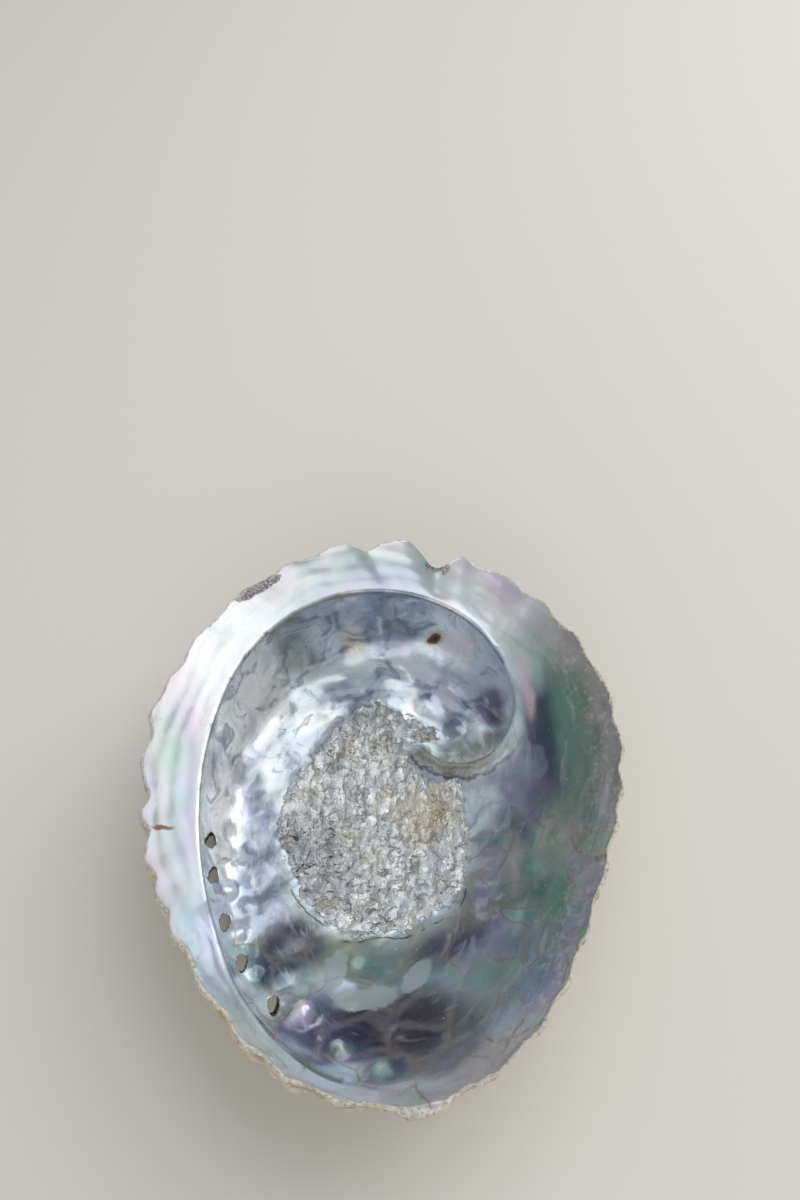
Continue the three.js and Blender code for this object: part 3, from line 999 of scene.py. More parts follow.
    def raise_on(self, skin: Skin) -> Array:
        """Moves the skin along its normals by its relief.

        Args:
            skin: The bare skin; its points are moved.

        Returns:
            The relief that was added, in millimetres.
        """
        scar = self.scar_share(skin)
        outside = smooth(5.6, 6.02, skin.station)
        inside = mix(self.pearl(skin), self.scar(skin), scar) * (1.0 - 0.85 * skin.calm)
        near_edge = smooth(4.0, 0.0, skin.from_margin())
        chalk = near_edge * 0.35 * Lattice(51).layered(skin.points / 2.4, 2)
        rise = mix(inside, self.back(skin), outside) + chalk
        skin.points = skin.points + skin.normals() * rise[..., None]
        skin.points[..., 2] = np.maximum(skin.points[..., 2], 0.0)
        return rise


# ---------------------------------------------------------------------------------------------------------
# The tints of the pearl
# ---------------------------------------------------------------------------------------------------------


class Hue(Enum):
    """The pearl's named tints, as red, green and blue of the display."""

    SILVER = (196, 202, 208)
    BRIGHT = (228, 231, 236)
    ICE = (176, 190, 198)
    SLATE = (112, 124, 146)
    STEEL = (140, 154, 172)
    NAVY = (46, 56, 78)
    VIOLET = (86, 80, 114)
    PLUM = (44, 36, 54)
    LILAC = (170, 160, 186)
    MAUVE = (150, 144, 146)
    PINK = (196, 172, 188)
    TEAL = (86, 118, 110)
    SEA = (94, 114, 100)
    MINT = (150, 182, 172)
    OLIVE = (98, 100, 84)
    SAND = (172, 164, 150)

    def linear(self) -> Array:
        """The tint in linear light: ((c + 0.055) / 1.055) to the power 2.4."""
        return ((np.array(self.value) / 255.0 + 0.055) / 1.055) ** 2.4


@dataclass(frozen=True)
class Pool:
    """A soft-edged pool of one tint at a place of the plan."""

    hue: Hue
    x: float
    y: float
    across: float
    along: float
    turn: float = 0.0
    strength: float = 1.0
    edge: float = 0.5

    def share(self, x: Array, y: Array) -> Array:
        """1 in the middle of the turned ellipse, easing to 0 over its outer part.

        Args:
            x, y: Places in the plan.

        Returns:
            The share of the tint at each place.
        """
        turn = math.radians(self.turn)
        dx, dy = x - self.x, y - self.y
        side = (dx * math.cos(turn) + dy * math.sin(turn)) / self.across
        ahead = (dy * math.cos(turn) - dx * math.sin(turn)) / self.along
        return self.strength * smooth(1.0 + self.edge, 1.0 - self.edge, np.hypot(side, ahead))


@dataclass(frozen=True)
class Tints:
    """Where each tint of the pearl lies: pools in the bowl, and pools along the shelf. A few pale pools are
    painted highlights, and one is painted light that lifts a wall out of its shade.
    """

    bowl: tuple[Pool, ...] = (
        Pool(Hue.SEA, 70, 10, 18, 60),
        Pool(Hue.TEAL, 62, 30, 8, 22),
        Pool(Hue.TEAL, 56, -30, 16, 34, 15),
        Pool(Hue.MAUVE, 70, -35, 6, 40, 14, 0.5),
        Pool(Hue.SLATE, 30, -52, 26, 20, -20, 0.8),
        Pool(Hue.TEAL, 42, -52, 13, 14, 0, 0.7),
        Pool(Hue.NAVY, 22, -76, 16, 10, 30, 0.75),
        Pool(Hue.PLUM, 2, -66, 17, 14, 0, 0.95),
        Pool(Hue.NAVY, -29, -40, 11, 13, 20, 0.85),
        Pool(Hue.VIOLET, -8, -72, 14, 8, 20, 0.6),
        Pool(Hue.SILVER, -47, 20, 12, 42, 6, 0.9),
        # a painted highlight along the floor beside the left wall
        Pool(Hue.BRIGHT, -55, 16, 7, 32, 4, 1.0),
        Pool(Hue.SLATE, -44, 12, 5, 20, 8, 0.9),
        Pool(Hue.STEEL, -41, -14, 9, 18, 10, 0.9),
        # painted light: lifts the upper-left wall out of its own shade
        Pool(Hue.BRIGHT, -42, 59, 11, 16, -35, 0.95),
        Pool(Hue.OLIVE, -33, 71, 7, 5, 30, 0.6),
        Pool(Hue.SLATE, 2, 81, 22, 4, 3, 0.9),
        Pool(Hue.LILAC, 2, 75, 9, 4, 3, 0.5),
        Pool(Hue.ICE, -22, 62, 14, 8, 20, 0.7),
        Pool(Hue.SILVER, 4, 67, 16, 6, 0, 0.8),
        Pool(Hue.SAND, -12, 75, 5, 4, 0, 0.9),
        Pool(Hue.SILVER, 30, 72, 10, 7, -30, 0.9),
        Pool(Hue.PINK, 27, 74, 6, 4, -30, 0.5),
        Pool(Hue.ICE, 38, 67, 7, 6, 0, 1.0, 0.12),
        Pool(Hue.LILAC, 21, 58, 10, 8, 0, 0.5),
        Pool(Hue.STEEL, 33, 58, 9, 9, 0, 0.7),
        Pool(Hue.VIOLET, 38, 51, 6, 7, 0, 0.9, 0.3),
        Pool(Hue.NAVY, 41, 46, 4, 5, 0, 0.7),
        Pool(Hue.NAVY, 55, 30, 7, 24, 0, 0.95),
        Pool(Hue.VIOLET, 47, 8, 8, 14, 10, 0.7),
        Pool(Hue.NAVY, 40, -4, 8, 9, 0, 0.6),
        Pool(Hue.TEAL, 54, -17, 8, 12, 0, 0.6),
        Pool(Hue.MINT, 56, -14, 5, 9, 10, 0.35),
        Pool(Hue.TEAL, 50, -42, 9, 12, 20, 0.7),
        Pool(Hue.MAUVE, 44, -16, 4, 12, 12, 0.6),
        Pool(Hue.PINK, 52, 44, 3, 9, 0, 0.7),
        Pool(Hue.MINT, 56, 52, 3, 8, 10, 0.5),
        Pool(Hue.SLATE, 50, 22, 5, 5, 30, 0.5, 0.12),
        Pool(Hue.NAVY, 36, -24, 9, 8, 0, 0.5),
        Pool(Hue.PLUM, 4, -68, 19, 12, 0, 1.0),
        Pool(Hue.PLUM, -29, -42, 5, 6, 0, 0.9),
        Pool(Hue.NAVY, -22, -64, 9, 8, 0, 0.8),
        Pool(Hue.LILAC, -22.5, -61.5, 4, 4, 0, 0.9),
        # a painted highlight on this blister's top
        Pool(Hue.BRIGHT, -23.5, -61, 2, 2, 0, 0.9),
        Pool(Hue.NAVY, -11, -77, 8, 5, 0, 0.8),
        Pool(Hue.TEAL, -12, -75, 3, 3, 0, 0.9),
        # a painted highlight on this blister's top
        Pool(Hue.ICE, -12.5, -74, 1.4, 1.4, 0, 0.9),
        Pool(Hue.NAVY, 3, -84, 8, 5, 20, 0.8),
        Pool(Hue.MINT, 0, -82.5, 3, 3, 0, 0.9),
        # a painted highlight on this blister's top
        Pool(Hue.BRIGHT, -0.5, -82, 1.5, 1.5, 0, 0.9),
        Pool(Hue.NAVY, -33, -46, 7, 8, 0, 0.95),
        Pool(Hue.SEA, -2, -42, 24, 7, 0, 0.9),
        Pool(Hue.TEAL, -2, -47, 9, 5, 0, 0.95, 0.3),
        Pool(Hue.NAVY, -24, -38, 8, 8, 30, 0.8),
        Pool(Hue.NAVY, 24, -36, 15, 7, 30, 0.9),
        Pool(Hue.OLIVE, 30, -26, 6, 8, -30, 0.8),
        Pool(Hue.SLATE, 36, -20, 6, 12, -20, 0.8),
        Pool(Hue.BRIGHT, -26, 47, 9, 5, 30, 0.7),
        Pool(Hue.SLATE, 24, 45, 5, 5, 0, 0.9),
        Pool(Hue.OLIVE, 32, 36, 13, 4, 10, 0.7),
        Pool(Hue.BRIGHT, 9, 51, 6, 3, 0, 0.6),
    )
    bowl_lift: float = 1.45  # the bowl's tints are seen in the shade of its own walls
    shelf: tuple[Pool, ...] = (
        # a painted highlight on the shelf's upper left
        Pool(Hue.BRIGHT, -50, 48, 26, 30, 40, 0.95),
        Pool(Hue.SILVER, -8, 86, 34, 10, 0, 0.8),
        Pool(Hue.PINK, -66, 30, 8, 14, 0, 0.45),
        Pool(Hue.MINT, -68, 12, 7, 10, 0, 0.45),
        Pool(Hue.LILAC, -64, -20, 8, 14, 0, 0.5),
        # a painted highlight streak on the shelf's upper right
        Pool(Hue.BRIGHT, 44, 72, 16, 12, -40, 0.8),
        Pool(Hue.LILAC, 46, 78, 10, 6, -40, 0.5),
        Pool(Hue.MINT, 58, 62, 8, 10, -30, 0.5),
        Pool(Hue.SEA, 68, 44, 9, 22, -8, 0.9),
        Pool(Hue.ICE, -66, -8, 8, 12, 0, 0.6),
        Pool(Hue.STEEL, -50, -52, 10, 24, 30, 0.7),
        Pool(Hue.MAUVE, -40, -66, 8, 16, 30, 0.6),
        Pool(Hue.STEEL, -8, 84, 30, 3, 0, 0.4),
        Pool(Hue.SAND, -26, -84, 22, 7, -28, 0.7),
    )

    def paint(self, skin: Skin, rim: Rim) -> Array:
        """Lays the pools over a ground of silver, with their edges bent by slow noise.

        Args:
            skin: The skin to tint.
            rim: The rim, for the paler band that follows it on the plain wall.

        Returns:
            Red, green, blue and 1 in linear light, for each point of the skin.
        """
        points = skin.points
        bend = 7.0 * np.stack([Lattice(seed).layered(points / 15.0, 3) for seed in (61, 62)], -1)
        x, y = points[..., 0] + bend[..., 0], points[..., 1] + bend[..., 1]
        layers = []
        for ground, pools in ((Hue.ICE, self.bowl), (Hue.SILVER, self.shelf)):
            colour = np.broadcast_to(ground.linear(), points.shape)
            for pool in pools:
                colour = mix(colour, pool.hue.linear(), pool.share(x, y)[..., None])
            layers.append(colour)
        gap = skin.egg_gap(rim) + 5.0 * Lattice(63).layered(points / 12.0, 2)
        band = smooth(10.0, 4.0, gap) * smooth(-8.0, 12.0, x) * smooth(80.0, 50.0, y)
        layers = [mix(layer, Hue.MAUVE.linear(), 0.7 * band[..., None]) for layer in layers]
        layers[0] = np.minimum(1.0, self.bowl_lift * layers[0])
        colour = mix(layers[0], layers[1], smooth(-1.0, 1.0, skin.lip_gap)[..., None] * skin.shelf[..., None])
        return np.concatenate([colour, np.ones(colour.shape[:-1] + (1,))], axis=-1)


# ---------------------------------------------------------------------------------------------------------
# Shader maths
# ---------------------------------------------------------------------------------------------------------


class Level:
    """A number in the shader: the output socket of a node, with arithmetic that adds Math nodes."""

    def __init__(self, board: "Board", socket: bpy.types.NodeSocket) -> None:
        """Keeps the board the node stands on, and its output."""
        self.board = board
        self.socket = socket

    def __add__(self, other: "Operand") -> "Level":
        """Adds."""
        return self.board.maths("ADD", self, other)

    def __radd__(self, other: "Operand") -> "Level":
        """Adds, with this on the right."""
        return self.board.maths("ADD", other, self)

    def __sub__(self, other: "Operand") -> "Level":
        """Takes away."""
        return self.board.maths("SUBTRACT", self, other)

    def __rsub__(self, other: "Operand") -> "Level":
        """Takes this away."""
        return self.board.maths("SUBTRACT", other, self)

    def __mul__(self, other: "Operand") -> "Level":
        """Multiplies."""
        return self.board.maths("MULTIPLY", self, other)

    def __rmul__(self, other: "Operand") -> "Level":
        """Multiplies, with this on the right."""
        return self.board.maths("MULTIPLY", other, self)

    def __truediv__(self, other: "Operand") -> "Level":
        """Divides."""
        return self.board.maths("DIVIDE", self, other)

    def step(self, start: float, end: float) -> "Level":
        """Eases from 0 at start to 1 at end.

        Args:
            start: The value that gives 0.
            end: The value that gives 1, which may be the lower.

        Returns:
            The eased share.
        """
        ramp = self.board.make(
            "ShaderNodeMapRange",
            {"interpolation_type": "SMOOTHSTEP"},
            {"Value": self, "From Min": start, "From Max": end},
        )
        return Level(self.board, ramp.outputs["Result"])


Operand = Union[Level, float]
Colour = Union[Level, tuple[float, float, float, float]]


class Board:
    """A material's node tree, with one method that makes every node."""

    def __init__(self, material: bpy.types.Material) -> None:
        """Empties the material's tree.

        Args:
            material: The material to build.
        """
        material.use_nodes = True
        self.tree = material.node_tree
        self.tree.nodes.clear()

    def make(
        self, kind: str, settings: Optional[dict[str, Any]] = None, inputs: Optional[dict[Any, Any]] = None
    ) -> bpy.types.Node:
        """Makes a node, sets it up, then fills its sockets.

        Args:
            kind: The node's type.
            settings: Its own settings, such as an operation. Stops are pairs of place and colour for a ramp.
            inputs: A value or a Level for each socket, by name or number.

        Returns:
            The node.
        """
        node = self.tree.nodes.new(kind)
        for name, value in (settings or {}).items():
            if name == "stops":
                self.set_stops(node.color_ramp, value)
            else:
                setattr(node, name, value)
        for name, value in (inputs or {}).items():
            if isinstance(value, Level):
                self.tree.links.new(value.socket, node.inputs[name])
            else:
                node.inputs[name].default_value = value
        return node

    @staticmethod
    def set_stops(ramp: bpy.types.ColorRamp, stops: list[tuple[float, Colour]]) -> None:
        """Gives a colour ramp its stops.

        Args:
            ramp: The ramp.
            stops: The place and the colour of each stop.
        """
        for index, (place, colour) in enumerate(stops):
            element = ramp.elements[index] if index < 2 else ramp.elements.new(place)
            element.position = place
            element.color = colour

    def maths(self, operation: str, first: Operand, second: Operand = 0.0) -> Level:
        """One Math node on two numbers."""
        node = self.make("ShaderNodeMath", {"operation": operation}, {0: first, 1: second})
        return Level(self, node.outputs[0])

    def blend(self, share: Operand, first: Colour, second: Colour, mode: str = "MIX") -> Level:
        """Blends two colours by a share, in a Mix node's blend mode.

        Args:
            share: How much of the second shows.
            first: The colour below.
            second: The colour on top.
            mode: The node's blend mode.

        Returns:
            The colour.
        """
        node = self.make(
            "ShaderNodeMix", {"data_type": "RGBA", "blend_type": mode}, {0: share, 6: first, 7: second}
        )
        return Level(self, node.outputs[2])

    def wash(self, colour: Level, *washes: tuple[Operand, Colour]) -> Level:
        """Lays colours over a colour, one after another.

        Args:
            colour: The colour below.
            *washes: The share and the colour of each wash.

        Returns:
            The colour.
        """
        for share, over in washes:
            colour = self.blend(share, colour, over)
        return colour

    def attribute(self, name: str, output: str = "Fac") -> Level:
        """Reads a value that the mesh carries at its vertices."""
        node = self.make("ShaderNodeAttribute", {"attribute_name": name})
        return Level(self, node.outputs[output])

    def places(self) -> Level:
        """The place on the piece, in metres."""
        return Level(self, self.make("ShaderNodeTexCoord").outputs["Object"])

    def axes(self, places: Level) -> tuple[Level, Level, Level]:
        """The three coordinates of places, in metres."""
        parts = self.make("ShaderNodeSeparateXYZ", None, {0: places})
        return tuple(Level(self, parts.outputs[axis]) for axis in "XYZ")

    def stretch(self, places: Level, scale: tuple[float, float, float], turn: float = 0.0) -> Level:
        """Scales places unevenly, after turning them about the upright axis by degrees."""
        inputs = {"Vector": places, "Rotation": (0, 0, math.radians(turn)), "Scale": scale}
        return Level(self, self.make("ShaderNodeMapping", None, inputs).outputs[0])

    def noise(
        self, places: Level, grain: float, detail: float = 3.0, rough: float = 0.55, bend: float = 0.0
    ) -> Level:
        """Fractal noise, from 0 to 1, whose grain is a length in millimetres.

        Args:
            places: The places, in metres.
            grain: The length of its largest grain.
            detail: How many finer layers it has.
            rough: The strength of each finer layer.
            bend: How far it is bent by itself.

        Returns:
            The noise.
        """
        inputs = {"Vector": places, "Scale": 1 / (grain * MM), "Detail": detail, "Roughness": rough}
        node = self.make("ShaderNodeTexNoise", None, {**inputs, "Distortion": bend})
        return Level(self, node.outputs["Fac"])

    def bent(self, places: Level, grain: float, by: float) -> Level:
        """Moves places about by up to some millimetres of slow noise.

        Args:
            places: The places, in metres.
            grain: The length of the noise's grain.
            by: The furthest a place is moved.

        Returns:
            The moved places.
        """
        inputs = {"Vector": places, "Scale": 1 / (grain * MM), "Detail": 2.0}
        noise = self.make("ShaderNodeTexNoise", None, inputs)
        offset = self.make(
            "ShaderNodeVectorMath",
            {"operation": "MULTIPLY_ADD"},
            {0: Level(self, noise.outputs["Color"]), 1: (2 * by * MM,) * 3, 2: (-by * MM,) * 3},
        )
        inputs = {0: places, 1: Level(self, offset.outputs[0])}
        return Level(self, self.make("ShaderNodeVectorMath", {"operation": "ADD"}, inputs).outputs[0])

    def cell(self, places: Level, grain: float, feature: str = "F1", output: str = "Distance") -> Level:
        """A pattern of scattered cells, whose grain is a length in millimetres."""
        inputs = {"Vector": places, "Scale": 1 / (grain * MM)}
        return Level(self, self.make("ShaderNodeTexVoronoi", {"feature": feature}, inputs).outputs[output])

    def away(self, places: Level, spot: "Spot") -> Level:
        """The distance from a spot's middle in shares of its half-sizes, level with the plan.

        Args:
            places: The places, in metres.
            spot: The spot.

        Returns:
            The distance, which is 1 on the spot's outline.
        """
        turned = self.make(
            "ShaderNodeMapping",
            {"vector_type": "TEXTURE"},
            {
                "Vector": places,
                "Location": (spot.x * MM, spot.y * MM, 0),
                "Rotation": (0, 0, math.radians(spot.turn)),
                "Scale": (spot.across * MM, spot.along * MM, 1e3),
            },
        )
        far = self.make("ShaderNodeVectorMath", {"operation": "LENGTH"}, {0: Level(self, turned.outputs[0])})
        return Level(self, far.outputs["Value"])

    def ramp(self, share: Level, stops: list[tuple[float, Colour]]) -> Level:
        """Reads a colour ramp that runs straight from stop to stop."""
        return Level(self, self.make("ShaderNodeValToRGB", {"stops": stops}, {"Fac": share}).outputs["Color"])

    def bump(self, height: Level, depth: float, strength: float, normal: Optional[Level] = None) -> Level:
        """Tilts the normal by a height from 0 to 1 that stands for a depth in millimetres.

        Args:
            height: The height.
            depth: The depth that a height of 1 stands for.
            strength: How strongly it shows.
            normal: The normal to tilt, or none for the surface's own.

        Returns:
            The tilted normal.
        """
        inputs = {"Height": height, "Distance": depth * MM, "Strength": strength}
        if normal is not None:
            inputs["Normal"] = normal
        return Level(self, self.make("ShaderNodeBump", None, inputs).outputs[0])

    def dress(self, inputs: dict[str, Any]) -> None:
        """Puts one Principled shader on the surface, with the given inputs.

        Args:
            inputs: The shader's inputs, by name.
        """
        shader = self.make("ShaderNodeBsdfPrincipled", None, inputs)
        output = self.make("ShaderNodeOutputMaterial")
        self.tree.links.new(shader.outputs[0], output.inputs["Surface"])


@dataclass(frozen=True)
class Spot:
    """An elliptical mark on the plan, in millimetres."""

    x: float
    y: float
    across: float
    along: float
    turn: float = 0.0


def paint(red: int, green: int, blue: int) -> tuple[float, float, float, float]:
    """A display colour as linear light: ((c + 0.055) / 1.055) to the power 2.4."""
    return tuple(((c / 255.0 + 0.055) / 1.055) ** 2.4 for c in (red, green, blue)) + (1.0,)


@dataclass
class Finish:
    """What a finish gives the shader: its colour, how rough and how metallic it is, and its relief."""

    colour: Level
    roughness: Operand
    metallic: Operand
    height: Operand


@dataclass(frozen=True)
class Zones:
    """Where on the pearl a thing lies: the place, and masks from 0 to 1 for its regions."""

    places: Level
    height: Level
    gap_in: Level
    shelf: Level
    bowl: Level
    floor: Level
    left: Level
    low: Level
    right: Level
    scaled: Level
    under_scar: Level

    @classmethod
    def on(cls, board: Board, places: Level) -> "Zones":
        """Works out the regions from what the mesh carries and from the place, in metres.

        Args:
            board: The material's board.
            places: The place on the piece.

        Returns:
            The zones.
        """
        x, y, z = board.axes(places)
        shelf = board.attribute("shelf")
        bowl = 1.0 - shelf
        low = y.step(-0.018, -0.050) * bowl
        right = x.step(0.012, 0.040) * bowl
        return cls(
            places=places,
            height=z,
            gap_in=board.attribute("egg_gap"),
            shelf=shelf,
            bowl=bowl,
            floor=bowl * x.step(0.052, 0.030) * y.step(-0.046, -0.020),
            left=x.step(-0.030, -0.046) * bowl,
            low=low,
            right=right,
            scaled=board.maths("MAXIMUM", low, right * y.step(0.02, -0.01)),
            under_scar=y.step(-0.006, -0.018) * bowl,
        )


@dataclass(frozen=True)
class Pearl:
    """Mother-of-pearl: the painted tints, drifting bands of hue, streaks, scales, small marks, painted
    highlights and painted shade.
    """

    band_width: float = 24.0
    band_share: float = 0.42
    play_share: float = 0.24
    metallic: float = 0.42
    shelf_roughness: float = 0.36
    bowl_roughness: float = 0.28
    depth: float = 0.16  # of its finest relief, in millimetres, as in the other finishes
    scale_size: float = 15.0
    crack_reach: float = 1.06  # where the crack runs, in shares of the scar's half-sizes
    milk: tuple[Spot, ...] = (
        Spot(-15, -47, 2.9, 7.6, -14),
        Spot(-4.5, -56.5, 10.4, 3.8, 6),
        Spot(10.5, -49, 3.2, 7.4, -38),
    )
    drip: tuple[Spot, ...] = (Spot(57.5, -9, 2.4, 3.0), Spot(59.2, -20, 1.7, 10.0, 4))
    amber: Spot = Spot(18.2, 75.6, 2.8, 1.15, 0)
    rust: Spot = Spot(-67.5, -13.5, 3.4, 1.0)

    @staticmethod
    def mark(board: Board, places: Level, spots: tuple[Spot, ...], soft: float = 0.12) -> Level:
        """A mask that is 1 within any of the spots.

        Args:
            board: The material's board.
            places: The places, in metres.
            spots: The spots.
            soft: How softly their outlines fade.

        Returns:
            The mask.
        """
        total: Operand = 0.0
        for spot in spots:
            total = board.maths("MAXIMUM", total, board.away(places, spot).step(1.0 + soft, 1.0 - soft))
        return total

    def tinted(self, board: Board, zones: Zones) -> Level:
        """The painted tints, with pastel bands along the shelf and a slow play of hue in the bowl.

        Args:
            board: The material's board.
            zones: The pearl's zones.

        Returns:
            The colour.
        """
        colour = board.attribute("tint", "Color")
        drift = board.noise(zones.places, 34.0, 3.0, 0.5)
        pastel = board.ramp(
            board.maths("FRACT", zones.gap_in / self.band_width + 2.2 * drift),
            [
                (0.0, paint(214, 196, 214)),
                (0.22, paint(226, 212, 204)),
                (0.45, paint(198, 220, 206)),
                (0.62, paint(188, 208, 222)),
                (0.82, paint(198, 192, 222)),
                (1.0, paint(214, 196, 214)),
            ],
        )
        banded = board.blend(1.0, colour, pastel, "OVERLAY")
        colour = board.blend(self.band_share * zones.shelf, colour, banded)
        play = board.ramp(
            board.maths("FRACT", board.noise(zones.places, 26.0, 2.0, 0.45) * 4.2),
            [
                (0.0, paint(108, 106, 132)),
                (0.3, paint(122, 134, 150)),
                (0.55, paint(96, 142, 134)),
                (0.75, paint(140, 150, 144)),
                (0.9, paint(150, 126, 152)),
                (1.0, paint(108, 106, 132)),
            ],
        )
        return board.blend(self.play_share * zones.bowl, colour, play, "SOFT_LIGHT")

    def washed(self, board: Board, zones: Zones, colour: Level, silk: Level, streaks: Level) -> Level:
        """Lays silk over all of the pearl, wisps over the open floor, and down its left side pale painted
        highlight streaks with darker streaks between.

        Args:
            board: The material's board.
            zones: The pearl's zones.
            colour: The colour so far.
            silk: Noise drawn out along the rim.
            streaks: Noise drawn out along the shell.

        Returns:
            The colour.
        """
        wisp = board.noise(board.bent(zones.places, 16.0, 8.0), 11.0, 4.0, 0.55, 1.2)
        return board.wash(
            colour,
            (silk.step(0.5, 0.32) * (0.16 + 0.22 * zones.floor), paint(112, 122, 140)),
            (silk.step(0.54, 0.72) * (0.22 + 0.24 * zones.floor), paint(222, 226, 228)),
            (wisp.step(0.50, 0.34) * 0.62 * zones.floor, paint(84, 92, 118)),
            (wisp.step(0.53, 0.68) * 0.66 * zones.floor, paint(212, 216, 218)),
            # down the left side: darker streaks, and pale painted highlight streaks
            (zones.left * streaks.step(0.46, 0.3) * 0.5, paint(104, 122, 142)),
            (zones.left * streaks.step(0.55, 0.72) * 0.7, paint(232, 236, 240)),
        )

    def scaled(self, board: Board, zones: Zones, colour: Level) -> tuple[Level, Level]:
        """Parts the low and right-hand pearl into scales, each of its own hue within a thin dark line.

        Args:
            board: The material's board.
            zones: The pearl's zones.
            colour: The colour so far.

        Returns:
            The colour, and the mask of the lines.
        """
        scales = board.bent(zones.places, 9.0, 3.2)
        edge = board.cell(scales, self.scale_size, "DISTANCE_TO_EDGE")
        line = edge.step(0.045, 0.0) * board.noise(zones.places, 12.0, 2.0).step(0.42, 0.6) * zones.scaled
        own = board.cell(scales, self.scale_size, "F1", "Color")
        colour = board.blend(0.20 * zones.scaled, colour, own, "SOFT_LIGHT")
        colour = board.blend(edge.step(0.16, 0.03) * zones.scaled * 0.26, colour, paint(162, 154, 156))
        return board.blend(0.72 * line, colour, paint(104, 96, 72)), line

    def cracked(self, board: Board, zones: Zones, colour: Level) -> Level:
        """Runs a broken dark crack, in a pale band, below the scar.

        Args:
            board: The material's board.
            zones: The pearl's zones.
            colour: The colour so far.

        Returns:
            The colour.
        """
        waver = 0.12 * (board.noise(zones.places, 11.0, 4.0, 0.6) - 0.5)
        reach = board.attribute("scar_reach") + waver
        broken = board.noise(zones.places, 9.0, 3.0).step(0.44, 0.54)
        crack = board.maths("ABSOLUTE", reach - self.crack_reach).step(0.012, 0.003)
        band = reach.step(1.0, 1.05) * reach.step(1.22, 1.1) * zones.under_scar * 0.4
        colour = board.blend(band, colour, paint(150, 158, 140))
        return board.blend(0.85 * crack * zones.under_scar * broken, colour, paint(40, 42, 40))

    def marked(self, board: Board, zones: Zones, colour: Level) -> tuple[Level, Level]:
        """Adds the milky patches, the drip on the right wall, the amber spot and the rust on the shelf.

        Args:
            board: The material's board.
            zones: The pearl's zones.
            colour: The colour so far.

        Returns:
            The colour, and the mask of the milky patches.
        """
        places = zones.places
        milky = self.mark(board, board.bent(places, 5.0, 2.6), self.milk, 0.14)
        dripped = self.mark(board, board.bent(places, 4.0, 0.8), self.drip)
        amber = board.away(board.bent(places, 2.0, 0.4), self.amber)
        below_lip = zones.bowl * zones.height.step(0.034, 0.030)
        rust = board.away(board.bent(places, 2.0, 0.8), self.rust)
        colour = board.wash(
            colour,
            (0.8 * milky, paint(150, 164, 168)),
            (0.6 * dripped, paint(150, 160, 160)),
            (amber.step(1.7, 1.2) * below_lip, paint(196, 196, 184)),
            (amber.step(1.1, 0.8) * below_lip, paint(110, 78, 34)),
            (amber.step(0.75, 0.3) * below_lip, paint(58, 38, 22)),
            (rust.step(1.3, 0.5) * zones.shelf, paint(120, 78, 34)),
        )
        return colour, milky

    def dusted(self, board: Board, zones: Zones, colour: Level) -> tuple[Level, Level]:
        """Frosts the right-hand margin, flecks the low and right-hand pearl, and paints shade as a dark band
        at and just under the lip's edge.

        Args:
            board: The material's board.
            zones: The pearl's zones.
            colour: The colour so far.

        Returns:
            The colour, and the mask of the flecks.
        """
        places = zones.places
        outer = zones.gap_in.step(13.0, 7.0) * zones.right
        frost = board.noise(places, 2.4, 4.0, 0.7).step(0.50, 0.68) * outer
        flecks = board.cell(places, 2.6).step(0.13, 0.07) * board.noise(places, 14.0, 2.0).step(0.5, 0.7)
        flecks = flecks * board.maths("MAXIMUM", zones.right, zones.low)
        # a dark olive band at and just under the lip's edge: painted shade
        gap = board.attribute("lip_gap")
        under = gap.step(0.9, -0.4) * gap.step(-3.4, -1.0) * board.attribute("lip_share")
        colour = board.wash(
            colour,
            (0.55 * frost, paint(206, 202, 200)),
            (0.7 * flecks, paint(216, 220, 216)),
            # painted shade under the lip's edge
            (0.75 * under, paint(84, 84, 72)),
        )
        return colour, flecks

    def ridged(self, board: Board, zones: Zones, colour: Level) -> tuple[Level, Level]:
        """Lays the ragged olive layers of the spiral's ridge, painted shade in the narrow hollow beside them,
        and that hollow's flush.

        Args:
            board: The material's board.
            zones: The pearl's zones.
            colour: The colour so far.

        Returns:
            The colour, and the mask of the layers.
        """
        gap = board.attribute("ridge_gap")
        share = board.attribute("ridge_share")
        layers = board.ramp(
            board.maths("FRACT", gap * 0.5 + 3.2 * board.noise(zones.places, 7.0, 4.0, 0.6)),
            [
                (0.0, paint(104, 98, 76)),
                (0.4, paint(150, 142, 118)),
                (0.7, paint(122, 114, 84)),
                (1.0, paint(78, 74, 62)),
            ],
        )
        ragged = gap + 6.0 * (board.noise(zones.places, 5.0, 4.0, 0.65) - 0.5)
        band = ragged.step(-3.6, -2.4) * ragged.step(5.2, 3.6) * share
        # the narrow hollow beside the layers is painted near black: painted shade
        crevice_painted_shade = ragged.step(4.2, 5.0) * ragged.step(6.6, 5.4) * share
        flush = ragged.step(5.6, 7.0) * ragged.step(11.0, 8.0) * share
        colour = board.wash(
            colour,
            (0.75 * band, layers),
            (0.75 * crevice_painted_shade, paint(52, 46, 52)),
            (0.45 * flush, paint(150, 122, 150)),
        )
        return colour, band

    def dress(self, board: Board, places: Level) -> Finish:
        """Builds the pearl.

        Args:
            board: The material's board.
            places: The place on the piece.

        Returns:
            The finish.
        """
        zones = Zones.on(board, places)
        silk = board.noise(board.attribute("flow", "Vector"), 19.0, 3.0, 0.55, 0.7)
        lengthwise = board.stretch(board.bent(places, 22.0, 5.0), (1.0, 0.22, 0.5), 8.0)
        streaks = board.noise(lengthwise, 5.0, 4.0, 0.6)
        colour = self.washed(board, zones, self.tinted(board, zones), silk, streaks)
        colour, line = self.scaled(board, zones, colour)
        colour, milky = self.marked(board, zones, self.cracked(board, zones, colour))
        colour, flecks = self.dusted(board, zones, colour)
        colour, band = self.ridged(board, zones, colour)

